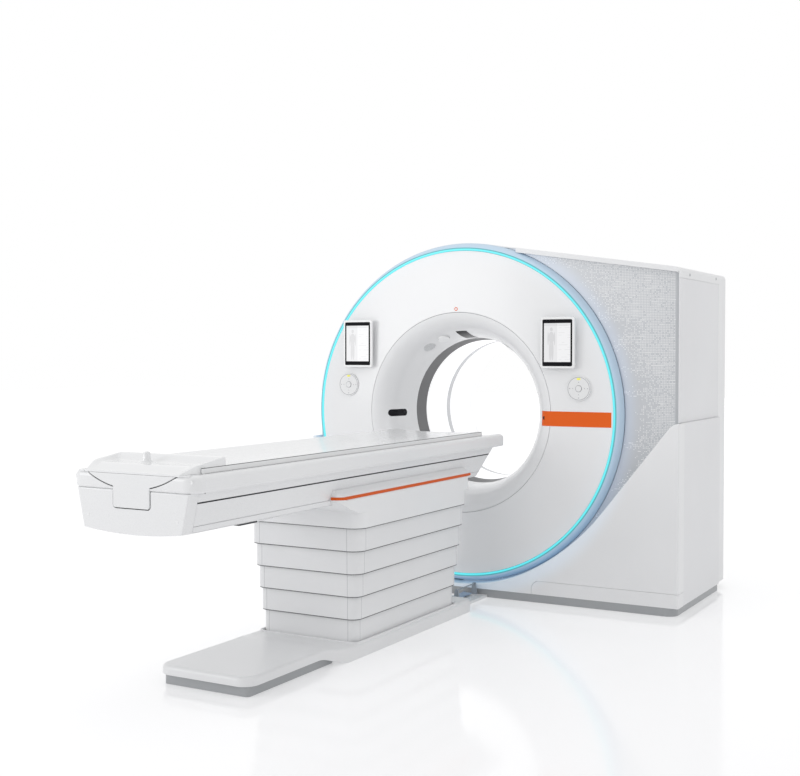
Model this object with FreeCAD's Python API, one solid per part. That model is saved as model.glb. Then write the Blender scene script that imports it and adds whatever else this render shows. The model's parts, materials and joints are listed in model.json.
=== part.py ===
"""Computed tomography scanner: a ring-shaped gantry and a lifting, sliding patient table.

Millimetres. X runs right across the gantry front, Y runs along the bore from the table
into the gantry, and Z is up. The origin is the floor point under the isocentre, the
centre of the bore at the scan plane.
"""
import FreeCAD, Part
import os
from math import acos, atan2, cos, degrees, hypot, pi, radians, sin, sqrt, tan

os.makedirs("parts", exist_ok=True)
V = FreeCAD.Vector

# Driving dimensions: gantry
ISO_Z = 1020.0            # height of the bore axis
RING_Y = -670.0           # plane of the light ring
REAR_Y = 460.0            # back face of the gantry
LOWER_FRONT_Y = -700.0    # front face of the lower covers
LOWER_DEPTH = 100.0       # how far the lower front covers wrap round the corner
HOUSING_FRONT_Y = -615.0  # front edge of the round cover
TOP_FRONT_Y = -640.0      # front edge of the top cover and upper side cover
PANEL_Y = -612.0          # face of the recessed upper panel
REAR_SEAM_Y = 100.0       # where the rear cover starts
SWEEP_Y = 250.0           # where the rear cover starts to sweep in on the right
LEFT_SWEEP_Y = 380.0      # the same on the left
PLINTH_SWEEP_Y = 120.0    # the same for the plinth on the right
SIDE_X = 1250.0           # right wall of the upper covers
LOWER_PROUD = 15.0        # how far the lower covers stand out past the upper ones
LOWER_X = SIDE_X + LOWER_PROUD
LEFT_FLARE = 4.5          # degrees, how far the left wall leans out
TOP_SLOPE = 8.53          # degrees, fall of the top cover to the right
TOP_CORNER_R = 28.0
HOUSING_R = 950.0         # round top left of the housing
COVER_T = 8.0             # wall of the gantry covers
PLINTH_H = 44.0
PLINTH_CORNER_R = 60.0
HIP_Z = 992.0             # height of the hip where it meets the side wall
HIP_R = 985.0             # distance of the hip's slanting line from the bore axis
HIP_ANGLE = 51.8          # degrees, slant of the hip line
HIP_LEAVE = 28.0          # degrees, where the hip edge leaves the ring
LOWER_RING_GAP = 8.0      # between the ring bezel and the lower covers
LEFT_FRONT_TOP = 860.0    # top of the lower left front cover
ROUND_SEAM_X = 330.0      # seam between round cover and top cover
TOP_SEAM_Z = 1740.0       # seam between top cover and upper side cover
KICK_LEFT = 454.0
KICK_TOP = 118.0
KICK_R = 45.0

# Driving dimensions: ring, funnel and bore
LIGHT_R = 905.0           # inner radius of the light ring
LIGHT_W = 17.0
DISC_SEAM_R = 560.0       # seam between front disc and funnel
DISC_DOME = 20.0          # how far the disc stands forward at that seam
DISC_CROWN = 3.0          # rise of its face above a straight cone
FUNNEL_BORE_R = 420.0
FUNNEL_END_Y = -395.0
TRIM_END_Y = -290.0
BORE_R = 410.0            # inner radius of the bore liners
LINER_T = 6.0
WINDOW_HALF = 22.5        # half the width of the scan window
LINER_REAR_Y = 300.0
REAR_FUNNEL_R = 500.0
REAR_FUNNEL_T = 8.0

# Driving dimensions: rotating part and its bearing
DRUM_R = 800.0
DRUM_BORE_R = 460.0
DRUM_PLATE_Y = 120.0
DRUM_PLATE_T = 25.0
DRUM_RIM_T = 15.0
DRUM_FRONT_Y = -110.0
RACE_R = 531.5            # outer radius of the inner race
RACE_GAP = 0.5
AIR_GAP = 1.0             # between magnets and coils
STATOR_Y = 185.0
STATOR_T = 40.0
STATOR_R = 860.0
STATOR_BORE_R = 575.0
BASE_PLATE_T = 30.0
BASE_PLATE_HALF = 880.0   # half width of the gantry's base plate
BASE_PLATE_Y0, BASE_PLATE_Y1 = -600.0, 400.0
BEAM_Y0, BEAM_Y1 = -400.0, 60.0   # cross beam that reaches the plinth on both sides
STATOR_FOOT_X0, STATOR_FOOT_X1, STATOR_FOOT_TOP = 430.0, 700.0, 500.0
ANCHOR_X = 1560.0         # spacing of the gantry's floor anchors
ANCHOR_Y = 840.0
ANCHOR_MID_Y = -100.0
ANCHOR_R = 11.0

# Driving dimensions: tube, detector and power units on the drum
TUBE_R = 95.0
TUBE_FLANGE_R = 115.0
TUBE_RISE = 620.0         # tube axis above the bore axis
PORT_HALF_X, PORT_HALF_Y, PORT_RISE = 60.0, 45.0, 480.0
DETECTOR_NEAR, DETECTOR_FAR, DETECTOR_HALF = 1060.0, 1140.0, 26.0
FOCUS_Y, FOCUS_RISE = -60.0, 600.0
UNIT_X0, UNIT_X1, UNIT_HALF_H = 500.0, 740.0, 150.0

# Driving dimensions: table
COLUMN_Y = -1709.0        # middle of the column
COLUMN_HALF_X = 309.0     # outermost cover, half width
COLUMN_HALF_Y = 541.0     # outermost cover, half length
COLUMN_R = 70.0           # corner radius of the outermost cover
SHELL_STEP = 11.0         # each shell below is this much smaller
SHELL_T = 4.0
SHELL_LAP = 22.0          # height hidden inside the shell above
GUIDE_H = 6.0             # lip round the top of a shell, running inside the next one
BASE_TOP = 66.0           # top of the base, where the lowest band stands
HEAD_COVER_Z = 583.0      # lower edge of the head cover
BANDS = 5
HEAD_CEILING_Z = 700.0
BASE_HALF_X = 275.0
BASE_FOOT_Y = -2310.0
BASE_HEAD_Y = -1045.0
FOOT_HALF_X = 236.0
FOOT_Y = -2955.0
FOOT_BACK_Y = -2370.0
FOOT_TOP = 82.0
FOOT_BOTTOM = 43.0
FOOT_INSET = 22.0
HULL_FOOT_Y = -3340.0
HULL_HEAD_Y = -740.0
END_CAP_T = 20.0
HULL_BOTTOM = 694.0
HULL_BOTTOM_HALF = 238.0
HULL_SIDE_TOP = 842.0
HULL_SIDE_HALF = 270.0
RIM_HALF = 305.0
RIM_TOP = 912.0
RIM_R = 22.0
HULL_T = 5.0
NOSE_BACK_Y = -950.0      # bottom corner of the slanting nose
NOSE_FRONT_Y = -795.0
NOSE_TOP = 903.0
RAIL_X = 228.0            # inner edge of the rails that the carriage runs on
RAIL_TOP = 862.0
TOP_HALF = 262.0          # half width of the tabletop
TOP_BOTTOM = 906.0
TOP_EDGE = 934.0
TOP_DISH = 10.0           # how far the tabletop dips in the middle
TOP_HEAD_Y = -920.0
CARRIAGE_FOOT_Y, CARRIAGE_HEAD_Y = -2540.0, -1725.0
CARRIAGE_HALF = 258.0
GRIP_HALF, GRIP_SAG, GRIP_R = 211.0, 56.0, 425.0   # smile-shaped end of the tabletop
GRIP_TAB_HALF, GRIP_TAB_Z = 88.0, 780.0
TRAY_LENGTH = 250.0
TRAY_RISE = 30.0
RUN_GAP = 0.3             # running gap between sliding faces
TABLE_ANCHOR_X = 400.0
TABLE_ANCHOR_Y = 820.0
TABLE_ANCHOR_R = 9.0
FRAME_T = 12.0            # plate of the table's steel frames
TONGUE_HALF = 200.0       # half width of the frame's tongue under the foot plate

# Driving dimensions: scissor lift
ARM_LENGTH = 850.0
ARM_REST = 39.4           # degrees above level at rest
ARM_T = 12.0
ARM_WIDTH = 32.0
ARM_FOOT_Y = -2150.0
ARM_BASE_Z = 75.0
OUTER_ARM_X = 160.0
INNER_ARM_X = 130.0
PIN_R = 10.0
PIN_CLEAR = 0.1
ROLLER_R = 10.0
ROLLER_CLEAR = 13.0       # above and below the rollers

DISC_FACE_R = LIGHT_R
BEZEL_IN = LIGHT_R + LIGHT_W
BORE_OUT = BORE_R + LINER_T


def save(node, shape):
    """Write one node's solid or solids as STEP."""
    shape = shape.removeSplitter()
    shape.exportStep("parts/" + node + ".step")


def box(x0, x1, y0, y1, z0, z1):
    return Part.makeBox(x1 - x0, y1 - y0, z1 - z0, V(x0, y0, z0))


def both_sides(shape):
    """The shape and its mirror image across the YZ plane."""
    return Part.makeCompound([shape, shape.mirror(V(0, 0, 0), V(1, 0, 0))])


def fuse(shapes):
    return shapes[0].fuse(shapes[1:])


def drum(radius, y0, y1, x=0.0, z=ISO_Z):
    """Cylinder along Y."""
    return Part.makeCylinder(radius, y1 - y0, V(x, y0, z), V(0, 1, 0))


def ring(outer, inner, y0, y1, x=0.0, z=ISO_Z):
    return drum(outer, y0, y1, x, z).cut(drum(inner, y0 - 1, y1 + 1, x, z))


def rod_x(radius, x0, x1, y, z):
    return Part.makeCylinder(radius, x1 - x0, V(x0, y, z), V(1, 0, 0))


def turned(points):
    """Full turn about the bore axis of a closed outline of (radius, y) points."""
    corners = [V(r, y, ISO_Z) for r, y in points]
    face = Part.Face(Part.makePolygon(corners + corners[:1]))
    return face.revolve(V(0, 0, ISO_Z), V(0, 1, 0), 360)


def shifted(corners, inset):
    """Corners (u, v, radius) of a counter-clockwise outline, moved inward by inset."""
    count = len(corners)
    lines = []
    for i in range(count):
        (u0, v0, _), (u1, v1, _) = corners[i], corners[(i + 1) % count]
        length = hypot(u1 - u0, v1 - v0)
        du, dv = (u1 - u0) / length, (v1 - v0) / length
        lines.append((u0 - dv * inset, v0 + du * inset, du, dv))
    moved = []
    for i in range(count):
        au, av, adu, adv = lines[i - 1]
        bu, bv, bdu, bdv = lines[i]
        t = ((bu - au) * bdv - (bv - av) * bdu) / (adu * bdv - adv * bdu)
        moved.append((au + adu * t, av + adv * t, max(corners[i][2] - inset, 0.0)))
    return moved


def rounded(corners, place, inset=0.0):
    """Face inside a polygon with rounded corners; place maps (u, v) to a point."""
    corners = shifted(corners, inset) if inset else corners
    edges, starts, ends = [], [], []
    arcs = []
    for i, (u, v, radius) in enumerate(corners):
        pu, pv, _ = corners[i - 1]
        nu, nv, _ = corners[(i + 1) % len(corners)]
        back = hypot(pu - u, pv - v)
        ahead = hypot(nu - u, nv - v)
        bu, bv = (pu - u) / back, (pv - v) / back
        au, av = (nu - u) / ahead, (nv - v) / ahead
        if radius < 0.01:
            starts.append((u, v))
            ends.append((u, v))
            arcs.append(None)
            continue
        half = acos(max(-1.0, min(1.0, bu * au + bv * av))) / 2
        reach = radius / tan(half)
        middle = hypot(bu + au, bv + av)
        depth = radius / sin(half) - radius
        starts.append((u + bu * reach, v + bv * reach))
        ends.append((u + au * reach, v + av * reach))
        arcs.append((u + (bu + au) / middle * depth, v + (bv + av) / middle * depth))
    for i in range(len(corners)):
        if arcs[i]:
            edges.append(Part.Arc(place(*starts[i]), place(*arcs[i]), place(*ends[i])).toShape())
        follow = (i + 1) % len(corners)
        edges.append(Part.makeLine(place(*ends[i]), place(*starts[follow])))
    return Part.Face(Part.Wire(edges))


def prism_y(corners, y0, y1, inset=0.0):
    """Rounded outline in X and Z, drawn along Y."""
    return rounded(corners, lambda u, v: V(u, y0, v), inset).extrude(V(0, y1 - y0, 0))


def prism_z(corners, z0, z1, inset=0.0):
    """Rounded outline in X and Y, drawn along Z."""
    return rounded(corners, lambda u, v: V(u, v, z0), inset).extrude(V(0, 0, z1 - z0))


def prism_x(corners, x0, x1, inset=0.0):
    """Rounded outline in Y and Z, drawn along X."""
    return rounded(corners, lambda u, v: V(x0, u, v), inset).extrude(V(x1 - x0, 0, 0))


def rectangle(u0, u1, v0, v1, radius=0.0):
    return [(u0, v0, radius), (u1, v0, radius), (u1, v1, radius), (u0, v1, radius)]


# ---------------------------------------------------------------- gantry housing
def housing_corners():
    """Front outline of the housing: round top left, sloping top, upright right wall."""
    lean, fall = radians(LEFT_FLARE), radians(TOP_SLOPE)
    left = HOUSING_R / cos(lean)        # the left wall meets the axis height here
    top = HOUSING_R / cos(fall)         # the top line meets the axis plane here
    # left wall: x = -left - (ISO_Z - z) tan(lean); top: z = ISO_Z + top - x tan(fall)
    corner_x = (-left + top * tan(lean)) / (1 + tan(fall) * tan(lean))
    corner_z = ISO_Z + top - corner_x * tan(fall)
    foot_x = -left - (ISO_Z - PLINTH_H) * tan(lean)
    right_z = ISO_Z + top - SIDE_X * tan(fall)
    return [
        (foot_x, PLINTH_H, 0.0),
        (SIDE_X, PLINTH_H, 0.0),
        (SIDE_X, right_z, TOP_CORNER_R),
        (corner_x, corner_z, HOUSING_R),
    ]


HOUSING = housing_corners()
LEFT_FOOT_X = HOUSING[0][0]
LEFT_SEAM_Z = ISO_Z + HOUSING_R * sin(radians(LEFT_FLARE))


def open_below(shape):
    """The shape drawn down by a wall's thickness, to leave a cover open underneath."""
    return shape.fuse(shape.translated(V(0, 0, -COVER_T)))


def housing_wall(y0, y1):
    inside = prism_y(HOUSING, y0 - 1, y1 + 1, COVER_T)
    return prism_y(HOUSING, y0, y1).cut(open_below(inside))


def rear_form(inset):
    """The rear cover's outer form, or its inside when inset is the wall."""
    start = REAR_SEAM_Y - (1 if inset else 0)
    form = prism_y(HOUSING, start, REAR_Y - inset, inset)
    shift = inset * sqrt(2)
    depth = REAR_Y - SWEEP_Y
    right = [(SIDE_X - shift, SWEEP_Y, 0), (SIDE_X + 50, SWEEP_Y, 0), (SIDE_X + 50, REAR_Y + 1, 0),
             (SIDE_X - shift - depth - 1, REAR_Y + 1, 0)]
    side_depth = REAR_Y - LEFT_SWEEP_Y
    left_x = LEFT_FOOT_X + shift
    left = [(left_x, LEFT_SWEEP_Y, 0), (left_x + side_depth + 1, REAR_Y + 1, 0),
            (LEFT_FOOT_X - 50, REAR_Y + 1, 0), (LEFT_FOOT_X - 50, LEFT_SWEEP_Y, 0)]
    return form.cut(prism_z(right, 0, 2100)).cut(prism_z(left, 0, 2100))


def build_housing():
    far = 3000.0
    wall = housing_wall(HOUSING_FRONT_Y, REAR_SEAM_Y)
    front_wall = housing_wall(TOP_FRONT_Y, REAR_SEAM_Y)
    save("round_cover", wall.common(box(-far, ROUND_SEAM_X, -far, far, LEFT_SEAM_Z, far)))
    save("top_cover", front_wall.common(box(ROUND_SEAM_X, far, -far, far, TOP_SEAM_Z, far)))
    save("side_cover_upper", front_wall.common(box(ROUND_SEAM_X, far, -far, far, HIP_Z, TOP_SEAM_Z)))

    lower_back = LOWER_FRONT_Y + LOWER_DEPTH
    left = wall.common(box(-far, LEFT_FOOT_X / 2, lower_back, far, PLINTH_H, LEFT_SEAM_Z))
    flange = prism_y(HOUSING, lower_back, lower_back + COVER_T, COVER_T)
    flange = flange.common(box(-far, LEFT_FOOT_X / 2, -far, far, PLINTH_H, LEFT_SEAM_Z))
    flange = flange.cut(drum(HOUSING_R - COVER_T, -far, far))
    save("side_cover_left", left.fuse(flange))

    lower = box(LOWER_X - COVER_T, LOWER_X, lower_back, REAR_SEAM_Y, PLINTH_H, HIP_Z)
    ledge = box(SIDE_X - COVER_T, LOWER_X, lower_back, REAR_SEAM_Y, HIP_Z - COVER_T, HIP_Z)
    back_lip = box(SIDE_X - COVER_T, LOWER_X, REAR_SEAM_Y - COVER_T, REAR_SEAM_Y, PLINTH_H, HIP_Z)
    save("side_cover_lower", fuse([lower, ledge, back_lip]))

    shell = rear_form(0.0).cut(open_below(rear_form(COVER_T)))
    save("rear_cover", shell.cut(drum(REAR_FUNNEL_R, -far, far)))


# ---------------------------------------------------------------- lower front covers
def hip_face(y, inset=0.0):
    """Outline of the lower right cover: under the ring, up the hip, out to the side wall."""
    leave, slant = radians(HIP_LEAVE), radians(HIP_ANGLE)
    inner = HOUSING_R + LOWER_RING_GAP + inset
    line = HIP_R + inset
    turn = cos(slant - leave)
    blend = (line - inner * turn) / (1 - turn)      # radius that joins ring arc and line
    right, top, low = LOWER_X - inset, HIP_Z - inset, PLINTH_H + inset

    def on_ring(angle):
        return V(inner * sin(angle), y, ISO_Z - inner * cos(angle))

    def on_blend(angle):
        middle = inner - blend
        return V(middle * sin(leave) + blend * sin(angle), y,
                 ISO_Z - middle * cos(leave) - blend * cos(angle))

    # shoulder arc: level at the side wall, tangent to the slanting line
    beyond = sin(slant) * right - cos(slant) * (top - ISO_Z) - line
    shoulder = beyond / (1 - cos(slant))
    centre = V(right, y, top - shoulder)

    def on_shoulder(angle):
        return V(centre.x - shoulder * sin(angle), y, centre.z + shoulder * cos(angle))

    start = inset
    first = V(start, y, ISO_Z - sqrt(inner ** 2 - start ** 2))
    edges = [
        Part.Arc(first, on_ring(leave / 2), on_ring(leave)).toShape(),
        Part.Arc(on_ring(leave), on_blend((leave + slant) / 2), on_blend(slant)).toShape(),
        Part.makeLine(on_blend(slant), on_shoulder(slant)),
        Part.Arc(on_shoulder(slant), on_shoulder(slant / 2), on_shoulder(0.0)).toShape(),
        Part.makeLine(on_shoulder(0.0), V(right, y, low)),
        Part.makeLine(V(right, y, low), V(start, y, low)),
        Part.makeLine(V(start, y, low), first),
    ]
    return Part.Face(Part.Wire(edges))


def build_lower_fronts():
    back = LOWER_FRONT_Y + LOWER_DEPTH
    outer = hip_face(LOWER_FRONT_Y).extrude(V(0, LOWER_DEPTH, 0))
    inner = hip_face(LOWER_FRONT_Y + COVER_T, COVER_T).extrude(V(0, LOWER_DEPTH, 0))
    kick_corners = [(KICK_LEFT, PLINTH_H, 0), (LOWER_X - COVER_T, PLINTH_H, 0),
                    (LOWER_X - COVER_T, KICK_TOP, 0), (KICK_LEFT, KICK_TOP, KICK_R)]
    kick = prism_y(kick_corners, LOWER_FRONT_Y, LOWER_FRONT_Y + COVER_T)
    save("lower_cover_right", outer.cut(inner).cut(kick))
    save("kick_panel", kick)

    ring_cut = drum(HOUSING_R + LOWER_RING_GAP, -2000, 2000)
    ring_wall = drum(HOUSING_R + LOWER_RING_GAP + COVER_T, -2000, 2000)
    half = box(-2000, 0, LOWER_FRONT_Y, back, PLINTH_H, LEFT_FRONT_TOP)
    outer = prism_y(HOUSING, LOWER_FRONT_Y, back).common(half).cut(ring_cut)
    room = box(-2000, -COVER_T, LOWER_FRONT_Y + COVER_T, back + 1, PLINTH_H + COVER_T,
               LEFT_FRONT_TOP - COVER_T)
    inner = prism_y(HOUSING, LOWER_FRONT_Y + COVER_T, back + 1, COVER_T).common(room).cut(ring_wall)
    save("lower_cover_left", outer.cut(inner))


def build_upper_panel():
    """Recessed panel between the ring, the top cover, the side wall and the hip."""
    thickness = COVER_T
    plate = prism_y(HOUSING, PANEL_Y, PANEL_Y + thickness, COVER_T)
    plate = plate.common(box(0, 2000, -2000, 2000, PLINTH_H, 3000))
    plate = plate.cut(drum(HOUSING_R, -2000, 2000))
    below = hip_face(PANEL_Y - 1).extrude(V(0, thickness + 2, 0))
    plate = plate.cut(below)
    pieces = sorted(plate.Solids, key=lambda solid: solid.Volume)
    save("upper_panel", pieces[-1])


def build_plinth():
    x0, x1 = LEFT_FOOT_X + 12, SIDE_X
    y0, y1 = LOWER_FRONT_Y + 3, REAR_Y - 4
    cut_right = y1 - PLINTH_SWEEP_Y
    cut_left = y1 - LEFT_SWEEP_Y
    corners = [(x0, y0, PLINTH_CORNER_R), (x1, y0, PLINTH_CORNER_R), (x1, PLINTH_SWEEP_Y, 0),
               (x1 - cut_right, y1, 0), (x0 + cut_left, y1, 0), (x0, LEFT_SWEEP_Y, 0)]
    outer = prism_z(corners, 0, PLINTH_H)
    wall = outer.cut(prism_z(corners, -1, PLINTH_H + 1, COVER_T))
    return wall, x0 + COVER_T, x1 - COVER_T


# ---------------------------------------------------------------- ring, disc, funnel, bore
def disc_face_y(radius):
    """Front of the disc: a shallow cone with a slight crown."""
    share = (radius - DISC_SEAM_R) / (DISC_FACE_R - DISC_SEAM_R)
    cone = RING_Y - DISC_DOME * (1 - share)
    return cone - DISC_CROWN * 4 * share * (1 - share)


def disc_outline(back_y=None):
    """Closed (radius, y) outline of the disc, or of everything from its face to back_y."""
    wires = []
    r0, r1 = DISC_SEAM_R, DISC_FACE_R
    rm = (r0 + r1) / 2
    front = [V(r, disc_face_y(r), ISO_Z) for r in (r0, rm, r1)]
    wires.append(Part.Arc(*front).toShape())
    if back_y is None:
        back = [p + V(0, COVER_T, 0) for p in front]
        wires.append(Part.makeLine(front[2], back[2]))
        wires.append(Part.Arc(back[2], back[1], back[0]).toShape())
        wires.append(Part.makeLine(back[0], front[0]))
    else:
        far, near = V(r1, back_y, ISO_Z), V(r0, back_y, ISO_Z)
        wires.append(Part.makeLine(front[2], far))
        wires.append(Part.makeLine(far, near))
        wires.append(Part.makeLine(near, front[0]))
    return Part.Face(Part.Wire(wires))


def turn_face(face):
    return face.revolve(V(0, 0, ISO_Z), V(0, 1, 0), 360)


def bell_face(seam_r, seam_y, throat_r, throat_y, wall):
    """Quarter-ellipse wall from a flat face at seam_r into the bore at throat_r."""
    wide, deep = seam_r - throat_r, throat_y - seam_y

    def curve(shrink):
        sign = 1 if deep > 0 else -1
        a, b = wide - shrink, abs(deep) - shrink
        count = 9
        points = []
        for i in range(count):
            angle = pi / 2 * i / (count - 1)
            points.append(V(seam_r - a * sin(angle), throat_y - sign * b * cos(angle), ISO_Z))
        line = Part.BSplineCurve()
        line.interpolate(points)
        return line.toShape(), points

    outer, outer_points = curve(0.0)
    inner, inner_points = curve(wall)
    edges = [outer, Part.makeLine(outer_points[-1], inner_points[-1]), inner,
             Part.makeLine(inner_points[0], outer_points[0])]
    return Part.Face(Part.Wire(Part.__sortEdges__(edges)))


def build_ring_and_bore():
    save("front_disc", turn_face(disc_outline()))
    save("light_ring", ring(BEZEL_IN, LIGHT_R, RING_Y - 5, RING_Y + 10))
    save("ring_bezel", turned([
        (BEZEL_IN, RING_Y + 1), (HOUSING_R, HOUSING_FRONT_Y - 8), (HOUSING_R, HOUSING_FRONT_Y),
        (HOUSING_R - COVER_T, HOUSING_FRONT_Y), (BEZEL_IN, RING_Y + 14)]))
    seam_y = RING_Y - DISC_DOME
    save("front_funnel", turn_face(
        bell_face(DISC_SEAM_R, seam_y, FUNNEL_BORE_R, FUNNEL_END_Y, COVER_T)))
    save("bore_trim_ring", turned([
        (FUNNEL_BORE_R, FUNNEL_END_Y), (BORE_R, TRIM_END_Y), (BORE_R + LINER_T, TRIM_END_Y),
        (FUNNEL_BORE_R + COVER_T, FUNNEL_END_Y)]))
    front = ring(BORE_OUT, BORE_R, TRIM_END_Y, -WINDOW_HALF)
    rear = ring(BORE_OUT, BORE_R, WINDOW_HALF, LINER_REAR_Y)
    save("bore_liners", Part.makeCompound([front, rear]))
    save("scan_window", ring(BORE_OUT - 1, BORE_R + 1, -WINDOW_HALF, WINDOW_HALF))
    save("rear_funnel", turn_face(
        bell_face(REAR_FUNNEL_R, REAR_Y, BORE_R, LINER_REAR_Y, REAR_FUNNEL_T)))


# ---------------------------------------------------------------- gantry frame and rotor
def build_gantry_frame(plinth_left, plinth_right):
    plate = box(-BASE_PLATE_HALF, BASE_PLATE_HALF, BASE_PLATE_Y0, BASE_PLATE_Y1, 0, BASE_PLATE_T)
    beam = box(plinth_left, plinth_right, BEAM_Y0, BEAM_Y1, 0, BASE_PLATE_T)
    frame = plate.fuse(beam)
    for sx in (-1, 1):
        for sy in (-1, 1):
            at = V(sx * ANCHOR_X / 2, ANCHOR_MID_Y + sy * ANCHOR_Y / 2, -1)
            frame = frame.cut(Part.makeCylinder(ANCHOR_R, BASE_PLATE_T + 2, at))
    save("gantry_base_frame", frame)

    foot = box(STATOR_FOOT_X0, STATOR_FOOT_X1, STATOR_Y - 20, STATOR_Y + STATOR_T + 20,
               BASE_PLATE_T, STATOR_FOOT_TOP)
    feet = both_sides(foot).Solids
    stator = ring(STATOR_R, STATOR_BORE_R, STATOR_Y, STATOR_Y + STATOR_T)
    hollow = drum(STATOR_BORE_R, 0, 500)
    clear = drum(DRUM_R + 15, 0, STATOR_Y)
    save("stator_ring", fuse([stator] + feet).cut(hollow).cut(clear))
    race_back = DRUM_PLATE_Y + DRUM_PLATE_T
    save("bearing_outer_race", ring(STATOR_BORE_R + 15, RACE_R + RACE_GAP, race_back + 5, STATOR_Y))
    coil_in = STATOR_BORE_R + 60
    save("drive_coil_ring", ring(coil_in + 40, coil_in, race_back + 10, STATOR_Y))
    return race_back, coil_in


def build_rotor(race_back, coil_in):
    plate = ring(DRUM_R, DRUM_BORE_R, DRUM_PLATE_Y, race_back)
    rim = ring(DRUM_R, DRUM_R - DRUM_RIM_T, DRUM_FRONT_Y, DRUM_PLATE_Y + 1)
    save("rotor_drum", plate.fuse(rim))
    save("bearing_inner_race", ring(RACE_R, RACE_R - 30, race_back, STATOR_Y))
    magnet_out = coil_in - AIR_GAP
    save("drive_magnet_ring", ring(magnet_out, magnet_out - 20, race_back, STATOR_Y - 8))
    save("slip_ring", ring(DRUM_R - 10, DRUM_R - 70, race_back, race_back + 25))

    tube_z = ISO_Z + TUBE_RISE
    tube = drum(TUBE_R, DRUM_FRONT_Y + 30, DRUM_PLATE_Y - 20, 0, tube_z)
    flange = drum(TUBE_FLANGE_R, DRUM_PLATE_Y - 20, DRUM_PLATE_Y, 0, tube_z)
    port = box(-PORT_HALF_X, PORT_HALF_X, -PORT_HALF_Y, PORT_HALF_Y, ISO_Z + PORT_RISE, tube_z)
    save("x_ray_tube", fuse([tube, flange, port]))

    focus = V(0, FOCUS_Y, ISO_Z + FOCUS_RISE)
    near, far, half = DETECTOR_NEAR, DETECTOR_FAR, radians(DETECTOR_HALF)
    depth = DRUM_PLATE_Y - focus.y

    def on_arc(radius, angle):
        return V(radius * sin(angle), focus.y, focus.z - radius * cos(angle))

    edges = [
        Part.Arc(on_arc(near, -half), on_arc(near, 0), on_arc(near, half)).toShape(),
        Part.makeLine(on_arc(near, half), on_arc(far, half)),
        Part.Arc(on_arc(far, half), on_arc(far, 0), on_arc(far, -half)).toShape(),
        Part.makeLine(on_arc(far, -half), on_arc(near, -half)),
    ]
    save("detector", Part.Face(Part.Wire(edges)).extrude(V(0, depth, 0)))
    unit = prism_y(rectangle(UNIT_X0, UNIT_X1, ISO_Z - UNIT_HALF_H, ISO_Z + UNIT_HALF_H, 20),
                   DRUM_FRONT_Y + 30, DRUM_PLATE_Y)
    save("rotor_power_units", both_sides(unit))


# ---------------------------------------------------------------- fittings on the front
TABLET_W, TABLET_H, TABLET_T = 195.0, 275.0, 14.0
TABLET_MID_Z = 1407.5
TABLET_LEFT_X, TABLET_RIGHT_X = -635.0, 610.0
TABLET_FACE_Y = -724.0
DIAL_R = 66.0
DIAL_FACE_Y = -693.0
DIAL_PLACES = {"left": (-715.0, 1168.0), "right": (720.0, 1164.0)}
BUTTON_R = 16.0
BUTTON_PROUD = 3.5
SIDE_CLEAR = 0.4
STRIPE_X0, STRIPE_X1, STRIPE_HALF = 500.0, 895.0, 40.0
SKIN = 1.0                # how far applied trim stands proud
DISPLAY_ANGLE, DISPLAY_HALF, DISPLAY_Y0, DISPLAY_Y1 = 93.0, 34.0, -600.0, -455.0
DOME_ANGLE, DOME_Y, DOME_R, DOME_PROUD = 110.0, -563.0, 33.0, 9.0
GRILLE_ANGLES, GRILLE_Y, GRILLE_R = (124.0, 56.0), -555.0, 36.0
PILL_Y0, PILL_Y1, PILL_HALF = -637.0, -501.0, 20.0


def funnel_skin(proud):
    """Layer of the given height on the face of the funnel."""
    seam_y = RING_Y - DISC_DOME
    whole = turn_face(bell_face(DISC_SEAM_R, seam_y, FUNNEL_BORE_R, FUNNEL_END_Y, COVER_T))
    raised = turn_face(bell_face(DISC_SEAM_R, seam_y - proud, FUNNEL_BORE_R - proud,
                                 FUNNEL_END_Y, COVER_T))
    return raised.cut(whole)


def around_bore(shape, angle):
    """Turn a shape that stands straight above the bore to another place round it."""
    turned_shape = shape.copy()
    turned_shape.rotate(V(0, 0, ISO_Z), V(0, 1, 0), 90 - angle)
    return turned_shape


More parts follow.
